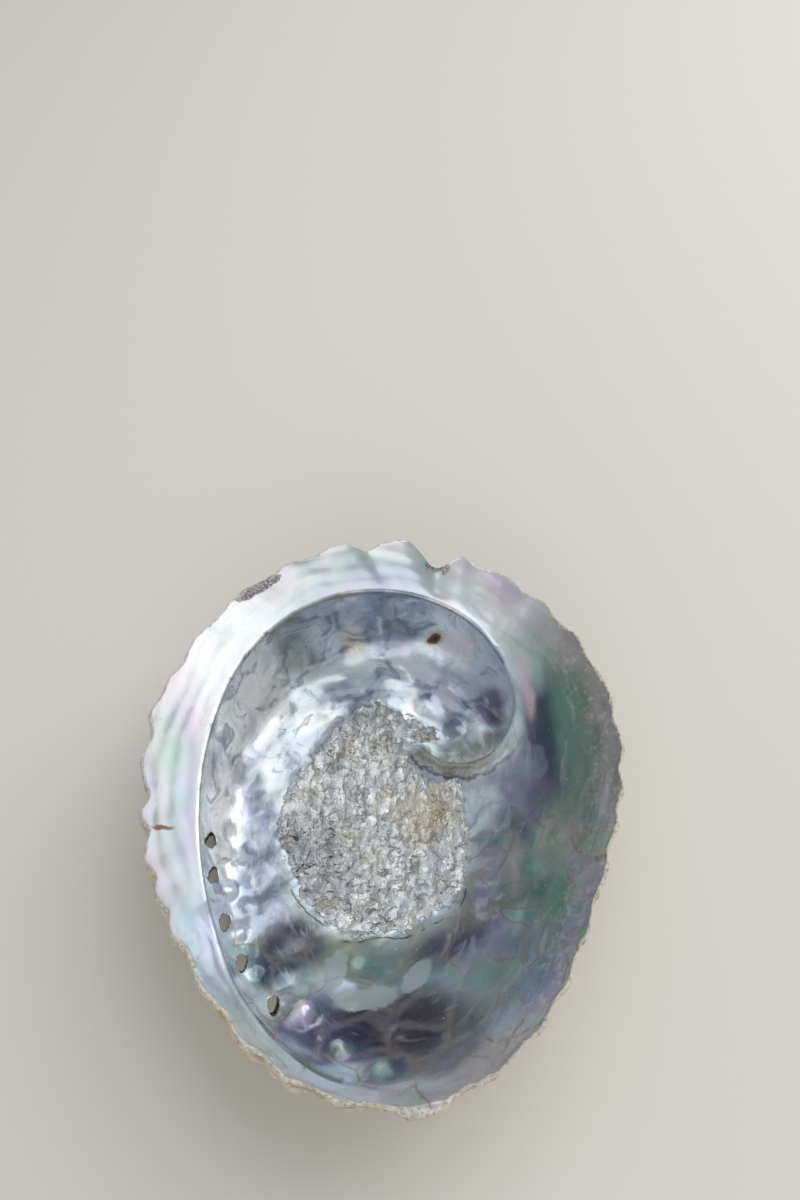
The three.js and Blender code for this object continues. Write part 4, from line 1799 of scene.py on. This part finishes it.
        ripple = board.noise(places, 3.2, 3.0, 0.5)
        roughness = self.bowl_roughness + (self.shelf_roughness - self.bowl_roughness) * zones.shelf
        roughness = roughness + 0.3 * (streaks - 0.5) + 0.35 * (silk - 0.5)
        roughness = roughness + 0.2 * milky + 0.3 * flecks + 0.3 * line
        metallic = self.metallic * (1.0 - 0.7 * milky) * (1.0 - 0.8 * line) * (1.0 - band)
        return Finish(colour, roughness, metallic, 0.3 * ripple + 0.25 * streaks + 0.5 * silk - 0.25 * line)


@dataclass(frozen=True)
class Scar:
    """The muscle scar: rough silvery foil of small flakes, with a warm patch, dark pits and fine seams, and
    with painted glints and painted shade on its flakes and crumples.
    """

    flake_size: float = 1.9
    roughness: float = 0.30
    metallic: float = 0.62
    depth: float = 1.0
    warm: Spot = Spot(15, 8, 12, 12)
    dark: Spot = Spot(-24, -8, 16, 20)
    low: Spot = Spot(8, -22, 26, 18)

    def dress(self, board: Board, places: Level) -> Finish:
        """Builds the scar.

        Args:
            board: The material's board.
            places: The place on the piece.

        Returns:
            The finish.
        """
        foil = board.noise(board.bent(places, 5.0, 1.5), 3.4, 6.0, 0.74, 0.6)
        glint = board.noise(places, 1.0, 3.0, 0.6)
        cloud = board.noise(places, 13.0, 4.0, 0.55)
        colour = board.ramp(
            cloud,
            [
                (0.30, paint(206, 198, 176)),
                (0.44, paint(216, 220, 220)),
                (0.56, paint(206, 214, 222)),
                (0.70, paint(200, 192, 170)),
            ],
        )
        x, y, _ = board.axes(places)
        upper = y.step(0.0, 0.014) * x.step(0.018, 0.004)
        fibres = board.noise(board.stretch(board.bent(places, 8.0, 1.2), (1.0, 0.13, 1.0)), 1.5, 4.0, 0.6)
        flakes = board.stretch(board.bent(places, 4.0, 1.6), (1.0, 0.42, 1.0))
        lit = board.cell(flakes, self.flake_size, "F1", "Color")
        sheet = board.cell(flakes, self.flake_size)
        patchy = board.noise(places, 7.0, 3.0, 0.6)
        # a share of the flakes painted almost white: painted glints
        painted_flake_glint = lit.step(0.54, 0.72) * patchy.step(0.38, 0.54)
        warm = board.away(board.bent(places, 8.0, 4.0), self.warm)
        pit = board.noise(places, 5.0, 4.0, 0.60, 1.6).step(0.42, 0.34)
        drifted = board.bent(places, 9.0, 4.0)
        dark_side = board.away(drifted, self.dark).step(1.3, 0.4)
        low_side = board.away(drifted, self.low).step(1.3, 0.5)
        crack = board.noise(board.bent(places, 6.0, 2.0), 9.0, 3.0, 0.6)
        seam = board.maths("ABSOLUTE", crack - 0.5).step(0.012, 0.0)
        # fine near-white specks: painted glints
        painted_glint = glint.step(0.60, 0.68)
        colour = board.wash(
            colour,
            (upper * fibres.step(0.48, 0.34) * 0.55, paint(104, 98, 84)),
            (upper * fibres.step(0.54, 0.68) * 0.6, paint(222, 224, 218)),
            # the foil's pale and dark washes: painted highlights and painted shade on its crumples
            (foil.step(0.57, 0.72) * 0.5, paint(232, 234, 234)),
            (foil.step(0.40, 0.26) * 0.35, paint(104, 104, 102)),
            (painted_flake_glint * 0.9, paint(252, 254, 254)),
            # flakes painted darker: painted shade on facets turned from the light
            (lit.step(0.40, 0.22) * 0.4, paint(120, 122, 120)),
            (warm.step(1.2, 0.4) * 0.5, paint(206, 190, 156)),
            (0.45 * dark_side, paint(110, 114, 124)),
            (pit * (0.25 + 0.7 * dark_side + 0.45 * low_side), paint(46, 48, 68)),
            (0.5 * seam, paint(70, 66, 62)),
            (0.85 * painted_glint, paint(252, 252, 250)),
        )
        relief = 0.9 * foil + 0.5 * lit - 0.5 * sheet + 0.3 * glint
        relief = relief - 0.4 * pit - 0.25 * seam + 0.5 * upper * fibres
        return Finish(colour, self.roughness - 0.16 * painted_glint, self.metallic, relief)


@dataclass(frozen=True)
class Chalk:
    """The margin's chalky cream line, where the pearl gives way to the outer layer."""

    width: float = 2.0
    tip_width: float = 0.6  # how much wider it grows towards the growing tip
    wander: float = 3.4  # how far its inner edge wanders in and out
    flake_width: float = 4.0  # how much wider it is where crusted
    roughness: float = 0.78
    depth: float = 0.5
    crusted: tuple[Spot, ...] = (Spot(-43.5, 75.0, 9.0, 2.2, 38), Spot(19, 85.5, 4.8, 2.4, -12))

    def dress(self, board: Board, places: Level) -> Finish:
        """Builds the chalk.

        Args:
            board: The material's board.
            places: The place on the piece.

        Returns:
            The finish.
        """
        grain = board.noise(places, 1.3, 4.0, 0.65)
        colour = board.ramp(
            grain, [(0.3, paint(150, 140, 122)), (0.5, paint(206, 198, 184)), (0.7, paint(232, 228, 218))]
        )
        dark = Pearl.mark(board, board.bent(places, 3.0, 1.4), self.crusted, 0.3)
        speck = board.noise(places, 0.9, 4.0, 0.7, 0.6)
        stain = board.ramp(
            speck, [(0.36, paint(34, 32, 44)), (0.5, paint(112, 108, 122)), (0.62, paint(206, 202, 196))]
        )
        colour = board.blend(0.85 * dark, colour, stain)
        return Finish(colour, self.roughness, 0.0, grain)


@dataclass(frozen=True)
class Crust:
    """The back: cream and tan lime, green and brown in its pits, white on the spat discs, and painted shade
    in its bore holes and the barnacle's opening.
    """

    roughness: float = 0.88
    depth: float = 0.9

    def dress(self, board: Board, places: Level) -> Finish:
        """Builds the crust.

        Args:
            board: The material's board.
            places: The place on the piece.

        Returns:
            The finish.
        """
        relief = board.attribute("relief")
        cloud = board.noise(places, 20.0, 3.0, 0.55)
        fine = board.noise(places, 2.2, 5.0, 0.7)
        colour = board.ramp(
            cloud,
            [
                (0.28, paint(176, 160, 128)),
                (0.45, paint(206, 196, 170)),
                (0.6, paint(222, 214, 196)),
                (0.74, paint(190, 170, 132)),
            ],
        )
        sunk = (relief + 0.8 * fine).step(1.0, 0.1)
        green = board.noise(places, 11.0, 3.0).step(0.54, 0.68)
        bored = board.cell(places, 7.0).step(0.10, 0.06)
        barnacle = board.attribute("barnacle")
        colour = board.wash(
            colour,
            (fine.step(0.52, 0.38) * 0.45, paint(138, 124, 94)),
            (sunk * 0.75, paint(92, 88, 58)),
            (sunk * green * 0.6, paint(96, 106, 58)),
            # the bore holes painted near black: painted shade inside them
            (0.85 * bored, paint(46, 40, 32)),
            (board.attribute("disc") * 0.8, paint(232, 230, 222)),
            (barnacle.step(0.02, 0.3) * 0.7, paint(150, 138, 148)),
            # the barnacle's opening painted near black: painted shade inside it
            (barnacle.step(0.82, 0.93), paint(34, 28, 28)),
        )
        height = fine + 0.3 * board.noise(places, 0.9, 2.0) - 0.6 * bored
        return Finish(colour, self.roughness, 0.0, height)


@dataclass(frozen=True)
class ShellMaterial:
    """The shell's one material, which passes from finish to finish by what the mesh carries."""

    pearl: Pearl = Pearl()
    scar: Scar = Scar()
    chalk: Chalk = Chalk()
    crust: Crust = Crust()
    coat: float = 0.5
    coat_roughness: float = 0.10
    pearl_bump: float = 0.7  # how strongly the finest relief shows in the pearl, and in what lies over it
    layer_bump: float = 0.9
    # how dark the pores' walls are painted: painted shade inside the pores
    pore_painted_shade: float = 0.92

    def build(self) -> bpy.types.Material:
        """Builds the material.

        Returns:
            The material, with every varying value on a socket that can be baked.
        """
        material = bpy.data.materials.new("shell")
        board = Board(material)
        places = board.places()
        margin = board.attribute("from_margin")
        outside = board.attribute("outside")
        ragged = board.noise(places, 4.0, 3.0, 0.6)
        near_tip = board.axes(places)[1].step(-0.035, -0.075)
        flaked = Pearl.mark(board, board.bent(places, 3.0, 2.4), self.chalk.crusted, 0.3)
        worn = margin + self.chalk.wander * (ragged - 0.5)
        worn = worn - self.chalk.tip_width * near_tip - self.chalk.flake_width * flaked
        chalk_share = worn.step(self.chalk.width + 0.6, self.chalk.width - 0.3)
        torn = board.noise(places, 3.2, 4.0, 0.65)
        scar_share = (board.attribute("scar") + 1.9 * (torn - 0.5)).step(0.40, 0.56)
        back_share = (outside + 0.5 * (ragged - 0.5)).step(0.35, 0.65)
        layers = ((scar_share, self.scar), (chalk_share, self.chalk), (back_share, self.crust))
        finish = self.pearl.dress(board, places)
        colour, rough, metal = finish.colour, finish.roughness, finish.metallic
        pore_wall = board.attribute("known").step(0.45, 0.1)
        normal = board.bump(finish.height, self.pearl.depth, self.pearl_bump)
        for share, kind in layers:
            layer = kind.dress(board, places)
            colour = board.blend(share, colour, layer.colour)
            rough = rough + share * (layer.roughness - rough)
            metal = metal + share * (layer.metallic - metal)
            normal = board.bump(share * layer.height, kind.depth, self.layer_bump, normal)
        # the pores' walls painted dark brown: painted shade inside the pores
        colour = board.blend(self.pore_painted_shade * pore_wall, colour, paint(48, 38, 28))
        board.dress(
            {
                "Base Color": colour,
                "Roughness": rough,
                "Metallic": metal * (1.0 - pore_wall),
                "Normal": normal,
                "Coat Weight": (1.0 - chalk_share) * (1.0 - back_share) * self.coat,
                "Coat Roughness": self.coat_roughness,
            }
        )
        return material


# ---------------------------------------------------------------------------------------------------------
# The piece
# ---------------------------------------------------------------------------------------------------------


@dataclass
class AbaloneShell:
    """The whole shell: its form, relief, pores and material."""

    form: Form = field(default_factory=Form)
    tints: Tints = field(default_factory=Tints)
    cutter_sides: int = 36

    def triangles(self, skin: Skin) -> Array:
        """Joins the net: two triangles to a cell along its shorter diagonal, and a fan at each pole.

        Args:
            skin: The skin.

        Returns:
            Corner numbers, one triangle to a row; the pole and the crown are the last two corners.
        """
        rays, rings = skin.station.shape
        ray = np.arange(rays)[:, None]
        ring = np.arange(rings - 1)[None, :]
        a = ray * rings + ring
        d = (ray + 1) % rays * rings + ring
        p, q, r, s = (corner.ravel() for corner in (a, a + 1, d + 1, d))
        flat = skin.points.reshape(-1, 3)
        first = np.linalg.norm(flat[p] - flat[r], axis=1) < np.linalg.norm(flat[q] - flat[s], axis=1)
        upper = np.where(first[:, None], np.stack([p, q, r], 1), np.stack([p, q, s], 1))
        lower = np.where(first[:, None], np.stack([p, r, s], 1), np.stack([q, r, s], 1))
        start = np.arange(rays) * rings
        after = np.roll(start, -1)
        pole = np.full(rays, rays * rings)
        inner_fan = np.stack([pole, start, after], 1)
        outer_fan = np.stack([start + rings - 1, pole + 1, after + rings - 1], 1)
        return np.concatenate([upper, lower, inner_fan, outer_fan])

    def carried(self, skin: Skin, relief: Relief, rise: Array) -> dict[str, Array]:
        """Works out the values that the mesh carries for its material.

        Args:
            skin: The raised skin.
            relief: The relief on it.
            rise: How far each point was raised.

        Returns:
            An array for each value, with the two poles' values added at its end.
        """
        x, y = skin.points[..., 0], skin.points[..., 1]
        outside = smooth(5.35, 6.0, skin.station)
        disc = np.zeros_like(x)
        warp = Lattice(45).layered(skin.points / 7.0, 3)
        for knob in relief.discs:
            disc = np.maximum(disc, smooth(1.08, 0.9, knob.reach(x, y, warp)))
        barnacle = 1.0 - np.hypot(x - relief.barnacle.x, y - relief.barnacle.y) / relief.barnacle.radius
        on_lip = ((skin.wound > 200.0) | (skin.wound < 60.0)) & (skin.points[..., 2] > 36.0)
        on_ridge = smooth(0.0, 24.0, skin.wound) * smooth(170.0, 90.0, skin.wound) * (skin.station < 3.4)
        values = {
            "outside": outside,
            "from_margin": skin.from_margin(),
            "egg_gap": skin.egg_gap(self.form.rim),
            "flow": skin.flow(self.form.rim),
            "scar": relief.scar_share(skin),
            "scar_reach": self.form.scar_reach(x, y),
            "shelf": skin.shelf * smooth(-1.0, 0.5, skin.lip_gap),
            "lip_gap": skin.lip_gap,
            "lip_share": on_lip.astype(float),
            "ridge_gap": skin.ridge_gap,
            "ridge_share": on_ridge,
            "relief": rise,
            "disc": disc * outside,
            "barnacle": np.clip(barnacle, 0.0, 1.0) * outside,
            "tint": self.tints.paint(skin, self.form.rim),
        }
        carried = {}
        for name, value in values.items():
            ends = np.stack([value[:, 0].mean(axis=0), value[:, -1].mean(axis=0)])
            flat = value.reshape((-1,) + value.shape[2:])
            carried[name] = np.concatenate([flat, ends])
        return carried

    def cut_pores(self, piece: bpy.types.Object) -> None:
        """Cuts the pores through the piece, and carries the values on to the corners that this makes.

        Args:
            piece: The shell, which is changed.
        """
        corners, faces, count = [], [], 0
        for pore in PORES:
            tube, sides = pore.tube(self.cutter_sides)
            corners.append(tube)
            faces += [[index + count for index in face] for face in sides]
            count += len(tube)
        mesh = bpy.data.meshes.new("pore_cutter")
        mesh.from_pydata((np.concatenate(corners) * MM).tolist(), [], faces)
        cutter = bpy.data.objects.new("pore_cutter", mesh)
        bpy.context.scene.collection.objects.link(cutter)
        modifier = piece.modifiers.new("pores", "BOOLEAN")
        modifier.operation = "DIFFERENCE"
        modifier.solver = "EXACT"
        modifier.object = cutter
        evaluated = piece.evaluated_get(bpy.context.evaluated_depsgraph_get())
        pierced = bpy.data.meshes.new_from_object(evaluated)
        piece.modifiers.clear()
        piece.data = pierced
        bpy.data.objects.remove(cutter)
        self.carry_on(pierced)

    @staticmethod
    def carry_on(mesh: bpy.types.Mesh) -> None:
        """Gives corners made by a cut the values of the nearest corner that was there before it.

        Args:
            mesh: The mesh, which is changed.
        """
        count = len(mesh.vertices)
        place = np.zeros(count * 3)
        mesh.vertices.foreach_get("co", place)
        place = place.reshape(-1, 3) / MM
        known = np.zeros(count)
        mesh.attributes["known"].data.foreach_get("value", known)
        new = np.flatnonzero(known < 0.999)
        near = np.zeros(count, bool)
        for pore in PORES:
            near |= np.hypot(place[:, 0] - pore.x, place[:, 1] - pore.y) < 16.0
        old = np.flatnonzero(near & (known > 0.999))
        gap = ((place[new][:, None, :] - place[old][None, :, :]) ** 2).sum(-1)
        source = old[np.argmin(gap, axis=1)]
        for attribute in mesh.attributes:
            width = next((w for w, (kind, _) in CARRIERS.items() if kind == attribute.data_type), 0)
            if attribute.domain != "POINT" or attribute.name in ("position", "known") or not width:
                continue
            key = CARRIERS[width][1]
            value = np.zeros(count * width, np.float32)
            attribute.data.foreach_get(key, value)
            value = value.reshape(count, width)
            value[new] = value[source]
            attribute.data.foreach_set(key, value.ravel())
        LOG.info("pores: %d corners on their edges", len(new))

    def build(self, box: tuple[Vector, Vector]) -> bpy.types.Object:
        """Builds the shell's piece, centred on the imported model's box.

        Args:
            box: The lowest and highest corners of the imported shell, in metres.

        Returns:
            The piece.
        """
        skin = self.form.build()
        relief = Relief(self.form)
        rise = relief.raise_on(skin)
        carried = self.carried(skin, relief, rise)
        corners = np.concatenate([skin.points.reshape(-1, 3), skin.pole[None], skin.crown[None]])
        triangles = self.triangles(skin)

        mesh = bpy.data.meshes.new("abalone_shell")
        mesh.vertices.add(len(corners))
        mesh.vertices.foreach_set("co", (corners * MM).astype(np.float32).ravel())
        mesh.loops.add(triangles.size)
        mesh.loops.foreach_set("vertex_index", triangles.astype(np.int32).ravel())
        mesh.polygons.add(len(triangles))
        mesh.polygons.foreach_set("loop_start", np.arange(0, triangles.size, 3, dtype=np.int32))
        mesh.update(calc_edges=True)
        mesh.validate()
        for name, value in {**carried, "known": np.ones(len(corners))}.items():
            kind, key = CARRIERS[value.shape[1] if value.ndim == 2 else 1]
            attribute = mesh.attributes.new(name, kind, "POINT")
            attribute.data.foreach_set(key, value.astype(np.float32).ravel())

        piece = bpy.data.objects.new("abalone_shell", mesh)
        bpy.context.scene.collection.objects.link(piece)
        self.cut_pores(piece)
        self.settle(piece.data, box)
        piece.data.materials.clear()
        piece.data.materials.append(ShellMaterial().build())
        piece.data.shade_smooth()
        return piece

    def settle(self, mesh: bpy.types.Mesh, box: tuple[Vector, Vector]) -> None:
        """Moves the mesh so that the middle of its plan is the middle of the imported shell's box.

        Args:
            mesh: The mesh, which is moved.
            box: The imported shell's lowest and highest corners.
        """
        place = np.zeros(len(mesh.vertices) * 3)
        mesh.vertices.foreach_get("co", place)
        place = place.reshape(-1, 3)
        low, high = place.min(axis=0), place.max(axis=0)
        move = np.array([(a + b) / 2 for a, b in zip(*box)]) - (low + high) / 2
        move[2] = box[0].z - low[2]
        mesh.vertices.foreach_set("co", (place + move).ravel())
        mesh.update()
        LOG.info("moved by %s mm to the packed box", np.round(move / MM, 2))


# ---------------------------------------------------------------------------------------------------------
# The studio
# ---------------------------------------------------------------------------------------------------------


@dataclass(frozen=True)
class Softbox:
    """A square area light, in metres and watts, aimed at a point."""

    name: str
    place: tuple[float, float, float]
    size: float
    power: float
    colour: tuple[float, float, float]
    aim: tuple[float, float, float] = (0.0, 0.0, 0.02)

    def build(self) -> None:
        """Hangs the light."""
        light = bpy.data.lights.new(self.name, "AREA")
        light.shape = "SQUARE"
        light.size = self.size
        light.energy = self.power
        light.color = self.colour
        lamp = bpy.data.objects.new(self.name, light)
        bpy.context.scene.collection.objects.link(lamp)
        lamp.location = self.place
        lamp.rotation_euler = (Vector(self.aim) - Vector(self.place)).to_track_quat("-Z", "Y").to_euler()


@dataclass(frozen=True)
class Studio:
    """A pale floor, soft light from behind, the right and the front, and the camera above the bowl."""

    floor_half: float = 1.6
    camera_place: tuple[float, float, float] = (5.59, -162.76, 384.3)
    look_down: float = 54.9
    lens: float = 35.0
    sky: tuple[float, float, float] = (0.66, 0.67, 0.67)
    sky_strength: float = 0.62
    lights: tuple[Softbox, ...] = (
        Softbox("window", (0.46, 0.48, 1.15), 1.2, 7.0, (1.0, 0.99, 0.97)),
        Softbox("side", (0.98, 0.72, 0.60), 0.7, 3.8, (0.98, 0.99, 1.0)),
        Softbox("front", (-0.15, -1.05, 0.62), 0.9, 3.6, (1.0, 0.99, 0.97)),
    )

    def build(self, box: tuple[Vector, Vector]) -> bpy.types.Object:
        """Lays the floor under the shell, hangs the lights and sets the camera up.

        Args:
            box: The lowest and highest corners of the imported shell, in metres.

        Returns:
            The floor.
        """
        middle = (box[0] + box[1]) / 2
        floor = self.lay_floor(middle, box[0].z)
        for light in self.lights:
            light.build()
        self.set_sky()
        self.set_camera(Vector((middle.x, middle.y, box[0].z)))
        return floor

    def lay_floor(self, middle: Vector, height: float) -> bpy.types.Object:
        """Lays a flat pale sheet.

        Args:
            middle: The place it is centred on.
            height: The height it lies at.

        Returns:
            The floor.
        """
        half = self.floor_half
        signs = ((-1, -1), (1, -1), (1, 1), (-1, 1))
        corners = [(middle.x + a * half, middle.y + b * half, height) for a, b in signs]
        mesh = bpy.data.meshes.new("floor")
        mesh.from_pydata(corners, [], [[0, 1, 2, 3]])
        floor = bpy.data.objects.new("floor", mesh)
        bpy.context.scene.collection.objects.link(floor)
        material = bpy.data.materials.new("floor")
        Board(material).dress({"Base Color": paint(222, 219, 213), "Roughness": 0.85})
        mesh.materials.append(material)
        return floor

    def set_sky(self) -> None:
        """An even, dim light from all round."""
        world = bpy.data.worlds.new("studio")
        world.use_nodes = True
        background = world.node_tree.nodes["Background"]
        background.inputs["Color"].default_value = (*self.sky, 1.0)
        background.inputs["Strength"].default_value = self.sky_strength
        bpy.context.scene.world = world

    def set_camera(self, base: Vector) -> None:
        """Looks from in front of the growing tip, down and towards the whorls.

        Args:
            base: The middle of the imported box's underside.
        """
        data = bpy.data.cameras.new("camera")
        data.lens = self.lens
        data.clip_start = 0.01
        camera = bpy.data.objects.new("camera", data)
        bpy.context.scene.collection.objects.link(camera)
        camera.location = base + Vector(self.camera_place) * MM
        camera.rotation_euler = (math.radians(90.0 - self.look_down), 0.0, 0.0)
        bpy.context.scene.camera = camera
        bpy.context.scene.view_settings.view_transform = "Standard"


def plain(bounds: tuple[Vector, Vector]) -> list[list[float]]:
    """Turns a pair of corners into plain lists."""
    return [[float(value) for value in corner] for corner in bounds]


def main() -> None:
    """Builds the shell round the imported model, then the studio."""
    logging.basicConfig(level=logging.INFO, format="%(name)s: %(message)s")
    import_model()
    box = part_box("shell")
    shell = AbaloneShell().build(box)
    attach(shell, "root")
    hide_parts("shell")
    LOG.info("shell: %d triangles", sum(len(p.vertices) - 2 for p in shell.data.polygons))
    Studio().build(box)


if __name__ == "__main__":
    main()
